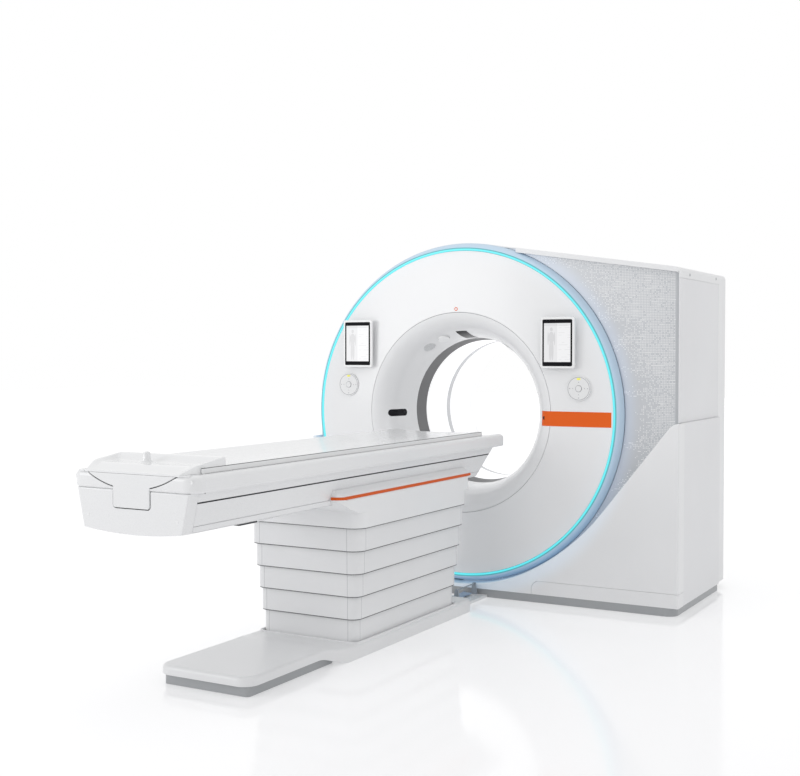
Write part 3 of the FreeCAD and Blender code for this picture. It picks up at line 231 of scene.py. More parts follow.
cover_white = moulded("cover_white", (0.80, 0.805, 0.815))
side_white = moulded("side_cover_white", (0.78, 0.785, 0.80), roughness=0.42)
TOP_LIP, LIP_END = 0.018, 1.2405
panel_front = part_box("upper_panel")[0].y
for name in ("round_cover", "top_cover", "side_cover_left"):
    bm = merged_copy(name)
    if name == "top_cover":
        for axis, level in ((1, panel_front - 0.0006), (1, panel_front - 0.0016),
                            (0, LIP_END - 0.0005), (0, LIP_END + 0.0005)):
            cut_across(bm, axis, level)
        under = {v for f in bm.faces for v in f.verts if f.normal.z < -0.5
                 and f.calc_center_median().y < panel_front - 0.002 and v.co.x < LIP_END}
        for corner in under:
            corner.co.z -= TOP_LIP
    round_edges(bm, 0.003)
    place_piece(bm, name.replace("cover", "shell"), cover_white, "root", "cover_white", name)
for name in ("side_cover_upper", "side_cover_lower"):
    bm = merged_copy(name)
    round_edges(bm, 0.003)
    place_piece(bm, name.replace("cover", "shell"), side_white, "root", "cover_white", name)


# Lower front covers and kick panel ---------------------------------------------
# Deep moulded covers that wrap the front corners, with a broad soft edge along the hip,
# and a kick panel that unclips at floor level. Their walls are 8 mm thick.
COVER_WALL = 0.008
KICK_GAP = 0.0012
LED_BLUE = (0.25, 0.62, 1.0)


def front_outline(node, keep):
    """Outline of a cover's front face, as a bmesh with one flat face."""
    source = merged_copy(node)
    front = min(v.co.y for v in source.verts)
    faces = [f for f in source.faces if f.calc_center_median().y < front + 1e-4]
    bmesh.ops.delete(source, geom=[f for f in source.faces if f not in faces], context="FACES")
    bmesh.ops.dissolve_faces(source, faces=source.faces[:])
    face = max(source.faces, key=lambda f: f.calc_area())
    corners = [v.co.copy() for v in face.verts if keep(v.co)]
    source.free()
    bm = bmesh.new()
    bm.faces.new([bm.verts.new(c) for c in corners])
    return bm


def corners_in(made):
    """The vertices that an operator made."""
    return [part for part in made["geom"] if isinstance(part, bmesh.types.BMVert)]


def deep_cover(bm, depth, radius, plain):
    """Draw the outline back, round the front edge except where plain, and give it a wall."""
    front = min(v.co.y for v in bm.verts)
    made = bmesh.ops.extrude_face_region(bm, geom=bm.faces[:])
    bmesh.ops.translate(bm, vec=(0, depth, 0), verts=corners_in(made))
    bmesh.ops.recalc_face_normals(bm, faces=bm.faces)
    round_edges(bm, radius, lambda e: all(v.co.y < front + 1e-4 for v in e.verts) and not plain(e), segments=6)
    back = [f for f in bm.faces if f.calc_center_median().y > front + depth - 1e-4]
    bmesh.ops.delete(bm, geom=back, context="FACES")
    bmesh.ops.triangulate(bm, faces=[f for f in bm.faces if len(f.verts) > 4])
    bmesh.ops.recalc_face_normals(bm, faces=bm.faces)
    bmesh.ops.solidify(bm, geom=bm.faces[:], thickness=COVER_WALL)


def boolean(bm, cutter, operation):
    """Return a new bmesh: bm cut by, or kept inside, a closed cutter."""
    pair = []
    for part in (bm, cutter):
        mesh = bpy.data.meshes.new("pattern")
        part.to_mesh(mesh)
        part.free()
        pair.append(bpy.data.objects.new("pattern", mesh))
        scene.collection.objects.link(pair[-1])
    step = pair[0].modifiers.new("cut", "BOOLEAN")
    step.operation, step.object, step.solver = operation, pair[1], "MANIFOLD"
    bpy.context.view_layer.update()
    shaped = bpy.data.meshes.new_from_object(pair[0].evaluated_get(bpy.context.evaluated_depsgraph_get()))
    result = bmesh.new()
    result.from_mesh(shaped)
    for pattern in pair:
        bpy.data.objects.remove(pattern)
    return result


def block(x0, x1, y0, y1, z0, z1, bm=None):
    """Add a plain block to a bmesh, or to a new one."""
    bm = bm or bmesh.new()
    middle = Matrix.Translation(((x0 + x1) / 2, (y0 + y1) / 2, (z0 + z1) / 2))
    bmesh.ops.create_cube(bm, size=1.0, matrix=middle @ Matrix.Diagonal((x1 - x0, y1 - y0, z1 - z0, 1)))
    return bm


# Painted light: blue emission near the ring stands in for the ring's light on the lower covers and kick board.
lower_white = moulded("lower_cover_white", (0.80, 0.805, 0.815), painted_ring_glow=(0.955, 1.09, LED_BLUE, 0.13))
cover_low, cover_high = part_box("lower_cover_right")
kick_low, kick_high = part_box("kick_panel")


def beside_kick(place):
    return place.z > kick_high.z + 1e-4 or not kick_low.x - 1e-4 <= place.x <= kick_high.x + 1e-4


def right_cover():
    bm = front_outline("lower_cover_right", beside_kick)
    deep_cover(bm, cover_high.y - cover_low.y, 0.026,
               lambda e: all(v.co.z < cover_low.z + 1e-3 for v in e.verts) or all(v.co.x < 1e-3 for v in e.verts))
    return bm


def kick_block(gap):
    bm = block(kick_low.x + gap, 2.0, cover_low.y - 0.1, cover_high.y + 0.1, -0.1, kick_high.z - gap)
    round_edges(bm, 0.045, lambda e: all(v.co.x < kick_low.x + 0.01 and v.co.z > 0.05 for v in e.verts), segments=8)
    return bm


bm = boolean(right_cover(), kick_block(0), "DIFFERENCE")
place_piece(bm, "lower_shell_right", lower_white, "root", "cover_white", "lower_cover_right")
bm = boolean(right_cover(), kick_block(KICK_GAP), "INTERSECT")
place_piece(bm, "kick_board", lower_white, "root", "cover_white", "kick_panel")

left_low, left_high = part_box("lower_cover_left")
bm = front_outline("lower_cover_left", lambda place: True)
deep_cover(bm, left_high.y - left_low.y, 0.022,
           lambda e: all(v.co.z < left_low.z + 1e-3 for v in e.verts) or all(v.co.x > -1e-3 for v in e.verts))
place_piece(bm, "lower_shell_left", lower_white, "root", "cover_white", "lower_cover_left")


# Silver side panel -------------------------------------------------------------
# Flat panel in silver paint beside the ring, printed with a matrix of small white
# dots and dashes that is dense by the side wall and breaks up towards the ring.
DOT_PITCH, DASH_CELLS = 0.0085, 4.0
DOT_HALF_W, DOT_HALF_H = 0.31, 0.29
PRINT_END = 1.218
SILVER, PALE_SILVER = (0.50, 0.515, 0.54, 1), (0.54, 0.555, 0.575, 1)
PRINT_WHITE, EDGE_SHADE_GREY = (0.79, 0.795, 0.80, 1), (0.30, 0.31, 0.325, 1)


def mixed(tree, share, one, other):
    return wire(tree, "Mix", {"data_type": "RGBA"}, i0=share, i6=one, i7=other).outputs[2]


def chance_at(tree, dimensions, x, y, z=0.0):
    """A number from 0 to 1 that is the same all over a cell."""
    cell = wire(tree, "CombineXYZ", X=calc(tree, "FLOOR", x), Y=calc(tree, "FLOOR", y), Z=z)
    return wire(tree, "TexWhiteNoise", {"noise_dimensions": dimensions}, Vector=cell.outputs[0]).outputs["Value"]


def mid_cell(tree, place, half):
    """Whether a place is within half a width of the middle of its cell."""
    off = calc(tree, "SUBTRACT", calc(tree, "FRACT", place), 0.5)
    return calc(tree, "LESS_THAN", calc(tree, "ABSOLUTE", off), half)


material, tree, shader, place = new_finish("silver_matrix_print")
split = wire(tree, "SeparateXYZ", Vector=place)
across = calc(tree, "DIVIDE", split.outputs["X"], DOT_PITCH)
upward = calc(tree, "DIVIDE", split.outputs["Z"], DOT_PITCH)
dot_chance = chance_at(tree, "2D", across, upward)
dash_chance = chance_at(tree, "3D", calc(tree, "DIVIDE", across, DASH_CELLS), upward, 3.0)
stretched = wire(tree, "Mapping", Vector=place, Scale=(5.0, 1.0, 16.0)).outputs[0]
drifts = wire(tree, "TexNoise", Vector=stretched, Scale=1.0, Detail=3.0).outputs["Fac"]
radius = from_axis(tree, place)
reach = calc(tree, "ADD", radius, calc(tree, "MULTIPLY", drifts, -0.42))
shown = calc(tree, "LESS_THAN", dot_chance, remap(tree, reach, 0.0, 0.88, 0.76, 0.93))
dashed = calc(tree, "LESS_THAN", dash_chance, 0.10)
printed = calc(tree, "MAXIMUM", mid_cell(tree, across, DOT_HALF_W), dashed)
for limit in (mid_cell(tree, upward, DOT_HALF_H), shown,
              calc(tree, "LESS_THAN", split.outputs["X"], PRINT_END)):
    printed = calc(tree, "MULTIPLY", printed, limit)
cloud = wire(tree, "TexNoise", Vector=place, Scale=3.0, Detail=4.0).outputs["Fac"]
# Painted shade: past the print's end the silver is mixed towards dark grey, standing in for the shade on the panel's
# outer edge.
painted_edge_shade = remap(tree, split.outputs["X"], 0.0, 0.30, PRINT_END, PRINT_END + 0.004)
paint = mixed(tree, painted_edge_shade, mixed(tree, cloud, SILVER, PALE_SILVER), EDGE_SHADE_GREY)
# Painted light: the blue emission that fades away from the ring stands in for the ring's light on the panel.
tune(shader, Base_Color=mixed(tree, printed, paint, PRINT_WHITE),
     Roughness=remap(tree, printed, 0.32, 0.5), Metallic=remap(tree, printed, 0.35, 0.0),
     Emission_Color=(0.25, 0.52, 1.0, 1),
     Emission_Strength=remap(tree, radius, 0.10, 0.0, 0.945, 1.05, "SMOOTHERSTEP"))
bm = merged_copy("upper_panel")
round_edges(bm, 0.0015, segments=2)
place_piece(bm, "silver_panel", material, "root", "silver_panel", "upper_panel")


# Front disc, funnel and bore ---------------------------------------------------
# Large glossy mouldings turned about the bore axis: a shallow domed disc, a trumpet
# that rolls into the bore, a dark trim ring, white liners and the thin scan window.
def turned(points, steps=180):
    """Closed ring swept round the bore axis from (radius, y) points."""
    bm = bmesh.new()
    corners = [bm.verts.new((r, y, axis_z)) for r, y in points]
    sides = [bm.edges.new((corners[i - 1], corners[i])) for i in range(len(corners))]
    bmesh.ops.spin(bm, geom=corners + sides, cent=(0, 0, axis_z), axis=(0, 1, 0),
                   angle=2 * pi, steps=steps, use_merge=True)
    bmesh.ops.remove_doubles(bm, verts=bm.verts, dist=1e-6)
    bmesh.ops.recalc_face_normals(bm, faces=bm.faces)
    return bm


disc_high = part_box("front_disc")[1]
funnel_low, funnel_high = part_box("front_funnel")
DISC_R, SEAM_R = disc_high.x, funnel_high.x
MOUTH_R, BORE_R = 0.420, 0.410
DOME = ring_plane - funnel_low.y
SKIN, LINER_SKIN = 0.008, 0.006
HALF_SEAM = 0.0008
# Painted light: the disc's outer edge takes a faint blue emission that stands in for the ring's light spilling onto
# it.
disc_white = moulded("disc_white", (0.83, 0.835, 0.845), roughness=0.24, drift=0.012, texture=0.02, coat=0.25,
                     painted_ring_glow=(0.905, 0.80, LED_BLUE, 0.02))
funnel_white = moulded("funnel_white", (0.82, 0.825, 0.835), roughness=0.25, drift=0.012, texture=0.02, coat=0.25)
dark_trim = moulded("bore_trim_grey", (0.17, 0.17, 0.175), roughness=0.48, texture=0.1)


def disc_face(share):
    """Depth of the domed face, from its seam with the funnel (0) to its rim (1)."""
    return ring_plane - DOME * (1 - share) - 0.003 * 4 * share * (1 - share)


rows = [i / 10 for i in range(11)]
front = [(SEAM_R + HALF_SEAM + (DISC_R - SEAM_R - 2 * HALF_SEAM) * s, disc_face(s)) for s in rows]
bm = turned(front + [(r, y + SKIN) for r, y in reversed(front)])
round_edges(bm, 0.0022, segments=3)
place_piece(bm, "disc_moulding", disc_white, "root", "disc_white", "front_disc")

def quarter(steps):
    """Angles of a quarter turn."""
    return [pi / 2 * i / steps for i in range(steps + 1)]


def trumpet(mouth_r, narrow_r, shut_y, open_y):
    """Funnel of even thickness from a wide mouth at open_y to a throat at shut_y."""
    wide, deep = mouth_r - narrow_r, open_y - shut_y
    skin = SKIN if deep > 0 else -SKIN
    outer = [(mouth_r - wide * sin(a), shut_y + deep * cos(a)) for a in quarter(16)]
    inner = [(mouth_r - (wide - SKIN) * sin(a), shut_y + (deep - skin) * cos(a)) for a in quarter(16)]
    return turned(outer + inner[::-1])


bm = trumpet(SEAM_R - HALF_SEAM, MOUTH_R, funnel_high.y, funnel_low.y)
round_edges(bm, 0.0022, segments=3)
place_piece(bm, "funnel_moulding", funnel_white, "root", "disc_white", "front_funnel")

trim_low, trim_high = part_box("bore_trim_ring")
bm = turned([(MOUTH_R, trim_low.y + 0.001), (BORE_R, trim_high.y - 0.001),
             (BORE_R + LINER_SKIN, trim_high.y - 0.001), (MOUTH_R + SKIN, trim_low.y + 0.001)])
round_edges(bm, 0.001, segments=2)
place_piece(bm, "bore_trim", dark_trim, "root", "bore_grey", "bore_trim_ring")

liner_low, liner_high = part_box("bore_liners")
window_low, window_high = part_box("scan_window")
liner_white = moulded("liner_white", (0.86, 0.862, 0.868), roughness=0.3, drift=0.008, texture=0.015)
rear_white = moulded("rear_funnel_white", (0.84, 0.843, 0.85), roughness=0.3, drift=0.01, texture=0.02)


def tune_finish(material, **inputs):
    tune(material.node_tree.nodes["Principled BSDF"], **inputs)


def tube(inner_r, outer_r, y0, y1):
    return turned([(inner_r, y0), (inner_r, y1), (outer_r, y1), (outer_r, y0)])


def take_in(bm, part):
    """Move a finished part into a bmesh."""
    spare = bpy.data.meshes.new("spare")
    part.to_mesh(spare)
    part.free()
    bm.from_mesh(spare)


# Painted light: white emission keeps the bore liners and the rear funnel bright, standing in for the light inside the
# bore.
for lit, strength in ((liner_white, 0.34), (rear_white, 0.24)):
    tune_finish(lit, Emission_Color=(1, 1, 1, 1), Emission_Strength=strength)
bm = tube(BORE_R, BORE_R + LINER_SKIN, liner_low.y, window_low.y - HALF_SEAM)
take_in(bm, tube(BORE_R, BORE_R + LINER_SKIN, window_high.y + HALF_SEAM, liner_high.y))
round_edges(bm, 0.0012, segments=2)
place_piece(bm, "bore_lining", liner_white, "root", "disc_white", "bore_liners")

material, tree, shader, place = new_finish("scan_window_film")
cloud = wire(tree, "TexNoise", Vector=place, Scale=60.0, Detail=2.0).outputs["Fac"]
tune(shader, Base_Color=two_tone(tree, cloud, (0.66, 0.67, 0.69), (0.74, 0.75, 0.77)), Roughness=0.18)
bm = tube(BORE_R + 0.001, BORE_R + 0.004, window_low.y, window_high.y)
place_piece(bm, "scan_film", material, "root", "window_film", "scan_window")

back_low, back_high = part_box("rear_funnel")
bm = trumpet(back_high.x, BORE_R, back_low.y, back_high.y)
place_piece(bm, "rear_funnel_moulding", rear_white, "root", "cover_white", "rear_funnel")


# Light ring and bezel ----------------------------------------------------------
# Translucent ring lit cyan from behind by a light strip, in a satin bezel whose
# outer slope has painted blue light: an emission that fades away from the ring.
material, tree, shader, place = new_finish("lit_cyan")
level = remap(tree, from_axis(tree, place), 0.92, 0.30, 0.913, 0.918, "SMOOTHSTEP")
tune(shader, Base_Color=(0.10, 0.26, 0.28, 1), Roughness=0.3, Emission_Color=(0.07, 0.72, 0.78, 1),
     Emission_Strength=level)
ring_out = ring_high.x
bm = turned([(DISC_R + 0.0006, ring_low.y + 0.004), (ring_out, ring_low.y + 0.004), (ring_out, ring_high.y),
             (DISC_R + 0.0006, ring_high.y)])
round_edges(bm, 0.003, segments=3)
place_piece(bm, "lit_ring", material, "root", "light_cyan", "light_ring")

bezel_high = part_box("ring_bezel")[1]
# Painted light: the bezel's blue emission fades outwards from the ring and stands in for the ring's light on it.
bezel_blue = moulded("bezel_blue", (0.50, 0.61, 0.70), roughness=0.4,
                     painted_ring_glow=(0.92, 0.975, (0.30, 0.58, 1.0), 0.13))
house_r = bezel_high.x - 0.0003
crown = [(ring_out + (house_r - ring_out) * s, ring_plane + 0.001 + (bezel_high.y - 0.008 - ring_plane) * s ** 1.6)
         for s in [i / 8 for i in range(9)]]
bm = turned(crown + [(house_r, bezel_high.y), (house_r - 0.008, bezel_high.y), (ring_out, ring_plane + 0.014)])
round_edges(bm, 0.0015, segments=2, sharper=50)
place_piece(bm, "bezel_slope", bezel_blue, "root", "bezel_blue", "ring_bezel")


# Rear cover ----------------------------------------------------------------------
# One large moulding that closes the back, with a ring seam round the rear funnel,
# two upright service seams and two banks of cooling louvres low down.
LOUVRES, LOUVRE_PITCH, LOUVRE_H = 9, 0.022, 0.010
LOUVRE_X, LOUVRE_HALF, LOUVRE_LOW = 0.45, 0.16, 0.15
SEAM_DEPTH, SEAM_WIDTH, RING_SEAM_R, SEAM_X = 0.003, 0.0025, 0.640, 0.70
# Near-black finish; where it is laid in the latch gaps, the upper hull groove, the grip gap and beside the rails it
# is painted shade.
dark_gap = moulded("dark_gap", (0.06, 0.062, 0.066), roughness=0.7, drift=0.1)
rear_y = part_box("rear_cover")[1].y
bm = merged_copy("rear_cover")
round_edges(bm, 0.003)
cuts = turned([(RING_SEAM_R, rear_y - SEAM_DEPTH), (RING_SEAM_R, rear_y + 0.01),
               (RING_SEAM_R + SEAM_WIDTH, rear_y + 0.01), (RING_SEAM_R + SEAM_WIDTH, rear_y - SEAM_DEPTH)])
for side in (-1, 1):
    x = side * SEAM_X
    block(x - SEAM_WIDTH / 2, x + SEAM_WIDTH / 2, rear_y - SEAM_DEPTH, rear_y + 0.02, 0.07, 1.40, cuts)
    x = side * LOUVRE_X
    for i in range(LOUVRES):
        z = LOUVRE_LOW + LOUVRE_PITCH * i
        block(x - LOUVRE_HALF, x + LOUVRE_HALF, rear_y - 0.05, rear_y + 0.02, z, z + LOUVRE_H, cuts)
bm = boolean(bm, cuts, "DIFFERENCE")
place_piece(bm, "rear_shell", cover_white, "root", "cover_white", "rear_cover")
bm = bmesh.new()
for x in (-LOUVRE_X, LOUVRE_X):
    block(x - 0.18, x + 0.18, rear_y - 0.0215, rear_y - 0.0185, 0.125, 0.365, bm)
place_piece(bm, "louvre_backing", dark_gap, "root", "cover_white")


# Orange stripe and small marks on the disc --------------------------------------
# Gloss orange vinyl laid across the disc at the right of the bore, a small round
# sensor at its inner end, and a little orange ring printed above the funnel.
orange = moulded("accent_orange", (0.80, 0.125, 0.014), roughness=0.45, drift=0.03, texture=0.02)
tune_finish(orange, Specular_IOR_Level=0.15)
bm = merged_copy("accent_stripe")
place_piece(bm, "disc_stripe", orange, "root", "accent_orange", "accent_stripe")


def small_ring(bm, x, y, z, radius, width, height, steps=40):
    """Add a thin flat ring, facing the front, to a bmesh."""
    start = len(bm.verts)
    corners = [bm.verts.new((x + radius + dx, y + dy, z)) for dx, dy in
               ((0, 0), (width, 0), (width, height), (0, height))]
    sides = [bm.edges.new((corners[i - 1], corners[i])) for i in range(4)]
    bmesh.ops.spin(bm, geom=corners + sides, cent=(x, y, z), axis=(0, 1, 0), angle=2 * pi,
                   steps=steps, use_merge=True)
    bm.verts.ensure_lookup_table()
    bmesh.ops.remove_doubles(bm, verts=bm.verts[start:], dist=1e-6)


MARK_UP = 0.579
bm = bmesh.new()
mark_share = (MARK_UP - SEAM_R) / (DISC_R - SEAM_R)
small_ring(bm, -0.010, disc_face(mark_share) - 0.0008, axis_z + MARK_UP, 0.0065, 0.0035, 0.002)
bmesh.ops.recalc_face_normals(bm, faces=bm.faces)
place_piece(bm, "ring_mark", orange, "root", "accent_orange")

black_gloss = moulded("black_gloss", (0.011, 0.011, 0.014), roughness=0.22, drift=0.2, texture=0.01)
tune_finish(black_gloss, Specular_IOR_Level=0.12)
FACING = Matrix.Rotation(pi / 2, 4, "X")


def small_disc(bm, x, y, z, radius, height, dome=0.25, steps=32):
    """Add a button that faces the front, with its edge turned down."""
    bmesh.ops.create_cone(bm, cap_ends=True, segments=steps, radius1=radius, radius2=radius * (1 - dome),
                          depth=height, matrix=Matrix.Translation((x, y - height / 2, z)) @ FACING)


bm = bmesh.new()
small_disc(bm, 0.521, -0.673, axis_z - 0.018, 0.013, 0.006)
place_piece(bm, "stripe_sensor", black_gloss, "root", "black_gloss")


# Funnel fittings ---------------------------------------------------------------
# A black display window and an infrared pill flush in the funnel, a domed status
# lamp in a thin collar, and two round loudspeaker meshes moulded in grey.
for node, name in (("funnel_display", "display_window"), ("sensor_window", "infrared_window")):
    place_piece(merged_copy(node), name, black_gloss, "root", "black_gloss", node)
lamp_white = moulded("status_lamp", (0.88, 0.885, 0.89), roughness=0.16, drift=0.02, texture=0.01, coat=0.5)
bm = merged_copy("status_dome")
round_edges(bm, 0.007, segments=5)
place_piece(bm, "status_lamp", lamp_white, "root", "key_white", "status_dome")

material, tree, shader, place = new_finish("speaker_mesh")
weave = wire(tree, "TexVoronoi", {"feature": "F1"}, Vector=place, Scale=520.0).outputs["Distance"]
bump = wire(tree, "Bump", Height=weave, Strength=0.5, Distance=0.0005).outputs["Normal"]
tune(shader, Base_Color=two_tone(tree, weave, (0.42, 0.43, 0.44), (0.70, 0.71, 0.72), (0.25, 0.55)),
     Roughness=0.6, Normal=bump)
place_piece(merged_copy("speaker_grilles"), "speaker_meshes", material, "root", "grille_grey", "speaker_grilles")


# Tablets -----------------------------------------------------------------------
# Two tablets in white moulded frames, held in docks that stand on the disc. Each has
# black glass with wider bars above and below a lit screen that shows a plain figure.
TABLET_W = 0.195
GLASS_W, GLASS_H = 0.170, 0.250
SCREEN_W, SCREEN_H = 0.151, 0.207
HOME_KEY = 0.010
tab_low, tab_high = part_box("tablets")
tablet_mid_z = (tab_low.z + tab_high.z) / 2
tablet_white = moulded("tablet_white", (0.84, 0.845, 0.85), roughness=0.22, drift=0.01, texture=0.01, coat=0.3)
glass_black = moulded("tablet_glass", (0.008, 0.008, 0.010), roughness=0.25, drift=0.2, texture=0.005)
tune_finish(glass_black, Specular_IOR_Level=0.04)

material, tree, shader, place = new_finish("lit_screen")
uv = wire(tree, "SeparateXYZ", Vector=wire(tree, "UVMap", {"uv_map": "UVMap"}).outputs[0])
u, v = uv.outputs["X"], uv.outputs["Y"]
FIGURE = ((0.28, 0.84, 0.055, 0.05), (0.28, 0.63, 0.105, 0.15), (0.24, 0.30, 0.045, 0.26),
          (0.32, 0.30, 0.045, 0.26), (0.16, 0.60, 0.026, 0.17), (0.40, 0.60, 0.026, 0.17))
figure = 0.0
for at_u, at_v, half_u, half_v in FIGURE:
    off_u, off_v = [calc(tree, "DIVIDE", calc(tree, "SUBTRACT", t, at), half)
                    for t, at, half in ((u, at_u, half_u), (v, at_v, half_v))]
    du, dv = [calc(tree, "POWER", calc(tree, "ABSOLUTE", off), 2.0) for off in (off_u, off_v)]
    figure = calc(tree, "MAXIMUM", figure, calc(tree, "LESS_THAN", calc(tree, "ADD", du, dv), 1.0))
row = calc(tree, "MULTIPLY", v, 16.0)
worded = calc(tree, "LESS_THAN", chance_at(tree, "2D", calc(tree, "MULTIPLY", u, 9.0), row), 0.42)
line = calc(tree, "MULTIPLY", calc(tree, "LESS_THAN", calc(tree, "FRACT", row), 0.16), worded)
line = calc(tree, "MULTIPLY", line, calc(tree, "GREATER_THAN", u, 0.55))
ink = 0.0
for part, depth in ((figure, 0.13), (line, 0.12), (calc(tree, "GREATER_THAN", v, 0.93), 0.08),
                    (calc(tree, "LESS_THAN", u, 0.5), 0.08)):
    ink = calc(tree, "ADD", ink, calc(tree, "MULTIPLY", part, depth))
shade = calc(tree, "SUBTRACT", 0.86, ink)
lit = wire(tree, "CombineColor", Red=shade, Green=shade, Blue=calc(tree, "ADD", shade, 0.012)).outputs[0]
tune(shader, Base_Color=(0.03, 0.03, 0.03, 1), Roughness=0.12, Emission_Color=lit, Emission_Strength=0.95)
screen_lit = material


def slab(bm, x, z, width, height, y_front, depth, corner, edge):
    """Add an upright rounded slab whose front edge is eased."""
    part = block(x - width / 2, x + width / 2, y_front, y_front + depth, z - height / 2, z + height / 2)
    round_edges(part, corner, lambda e: abs(e.verts[0].co.y - e.verts[1].co.y) > depth / 2, segments=6)
    round_edges(part, edge, lambda e: all(w.co.y < y_front + 1e-5 for w in e.verts), segments=3)
    take_in(bm, part)


frames, glasses, screens = bmesh.new(), bmesh.new(), bmesh.new()
screens.loops.layers.uv.new("UVMap")
for x in (tab_low.x + TABLET_W / 2, tab_high.x - TABLET_W / 2):
    slab(frames, x, tablet_mid_z, TABLET_W, tab_high.z - tab_low.z, tab_low.y + 0.0006,
         tab_high.y - tab_low.y - 0.0006, 0.013, 0.004)
    slab(glasses, x, tablet_mid_z, GLASS_W, GLASS_H, tab_low.y, 0.004, 0.007, 0.0005)
    slab(glasses, x + 0.001, tablet_mid_z - GLASS_H / 2 + 0.010, HOME_KEY, HOME_KEY, tab_low.y - 0.0003,
         0.001, 0.0049, 0.0001)
    bmesh.ops.create_grid(screens, x_segments=1, y_segments=1, size=0.5, calc_uvs=True,
                          matrix=Matrix.Translation((x, tab_low.y - 0.0003, tablet_mid_z + 0.001))
                          @ FACING @ Matrix.Diagonal((SCREEN_W, SCREEN_H, 1, 1)))
place_piece(frames, "tablet_frames", tablet_white, "root", "tablet_body", "tablets")
place_piece(glasses, "tablet_glasses", glass_black, "root", "tablet_body")
place_piece(screens, "tablet_screens", screen_lit, "root", "tablet_body")
bm = merged_copy("tablet_docks")
round_edges(bm, 0.004)
place_piece(bm, "tablet_mounts", cover_white, "root", "cover_white", "tablet_docks")


# Control dials -----------------------------------------------------------------
# Round membrane keypads beside the bore: a thin outline, a raised middle button in a
# collar, printed marks to each side of it and a lit yellow-green key at the top.
DIAL_R = 0.066
dial_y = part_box("control_dials")[0].y
key_white = moulded("key_white", (0.80, 0.805, 0.81), roughness=0.3, drift=0.01, texture=0.03)
mark_grey = moulded("dial_print", (0.36, 0.37, 0.39), roughness=0.5, drift=0.1)
key_lit = moulded("dial_lit_key", (0.75, 0.72, 0.10), roughness=0.35, drift=0.04)
tune_finish(key_lit, Emission_Color=(0.85, 0.80, 0.10, 1), Emission_Strength=0.25)
bm = merged_copy("control_dials")
round_edges(bm, 0.0025)
place_piece(bm, "dial_pads", key_white, "root", "key_white", "control_dials")
outlines, marks, keys = bmesh.new(), bmesh.new(), bmesh.new()
for side, body in (("left", "dial_button_left"), ("right", "dial_button_right")):
    button_low, button_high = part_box(body)
    x, z = (button_low.x + button_high.x) / 2, (button_low.z + button_high.z) / 2
    small_ring(outlines, x, dial_y - 0.0004, z, DIAL_R - 0.0065, 0.0022, 0.001, steps=64)
    small_ring(outlines, x, dial_y - 0.0008, z, 0.0172, 0.0012, 0.0015, steps=48)
    for quarters in range(4):
        way = quarters * pi / 2
        for reach, size in [(0.033, 0.0028), (0.050, 0.0036)][:2 if quarters else 1]:
            at = Matrix.Translation((x + sin(way) * reach, dial_y - 0.0003, z + cos(way) * reach))
            bmesh.ops.create_cone(marks, cap_ends=True, segments=3, radius1=size, radius2=size, depth=0.0006,
                                  matrix=at @ FACING @ Matrix.Rotation(-way, 4, "Z"))
    slab(keys, x, z + 0.051, 0.021, 0.010, dial_y - 0.0012, 0.0016, 0.004, 0.0005)
    bm = merged_copy(body)
    round_edges(bm, 0.0012)
    place_piece(bm, "dial_key_" + side, key_white, body, "key_white", body)
for bm, name in ((outlines, "dial_outlines"), (marks, "dial_marks")):
    bmesh.ops.recalc_face_normals(bm, faces=bm.faces)
    place_piece(bm, name, mark_grey, "root", "key_white")
place_piece(keys, "dial_lit_keys", key_lit, "root", "key_white")


# Screws, latch and socket on the side covers ------------------------------------
# Countersunk screws hold the side wall near the top; lower down there is a short
# latch gap beside the front cover and a small square pocket for the cover key.
screw_steel = moulded("screw_steel", (0.42, 0.43, 0.45), roughness=0.35, drift=0.05)
side_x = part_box("side_cover_upper")[1].x
low_side, high_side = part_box("side_cover_lower")
bm = bmesh.new()
for y, z in ((-0.471, 1.761), (0.045, 1.768)):
    at = Matrix.Translation((side_x + 0.0006, y, z)) @ Matrix.Rotation(pi / 2, 4, "Y")
    for sides, foot_r, head_r, depth in ((24, 0.0085, 0.007, 0.0016), (6, 0.003, 0.003, 0.0024)):
        bmesh.ops.create_cone(bm, cap_ends=True, segments=sides, radius1=foot_r, radius2=head_r,
                              depth=depth, matrix=at)
place_piece(bm, "side_screws", screw_steel, "root", "cover_white")
# Painted shade: a thin near-black strip at the side wall stands in for the shade in the latch gap.
bm = block(high_side.x - 0.002, high_side.x - 0.0001, low_side.y + 0.003, low_side.y + 0.115, 0.4985, 0.5015)
place_piece(bm, "latch_gap", dark_gap, "root", "cover_white")
bm = boolean(block(high_side.x - 0.004, high_side.x - 0.0002, -0.385, -0.325, 0.058, 0.112),
             block(high_side.x - 0.0012, high_side.x + 0.01, -0.378, -0.332, 0.065, 0.105), "DIFFERENCE")
place_piece(bm, "key_pocket", [tablet_white, dark_gap], "root", "cover_white")


# Table hull --------------------------------------------------------------------
# Long white trough with leaning sides and a thick rounded rim, moulded in fibre
# composite. Two grooves run along each side; rails inside carry the sliding carriage.
RIM_CORNER = 0.060
GROOVE_DEPTH = 0.004
HULL_INSIDE = 0.238
hull_low, hull_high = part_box("hull_shell")
cap_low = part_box("hull_end_cap")[0]
rim_half, rim_top = hull_high.x, hull_high.z
corner_y = cap_low.y + RIM_CORNER
hull_white = moulded("hull_white", (0.80, 0.805, 0.815), roughness=0.28, drift=0.012, texture=0.02, coat=0.2)
bm = merged_copy("hull_shell")
cut_across(bm, 1, corner_y, facing=-1, clear=True)
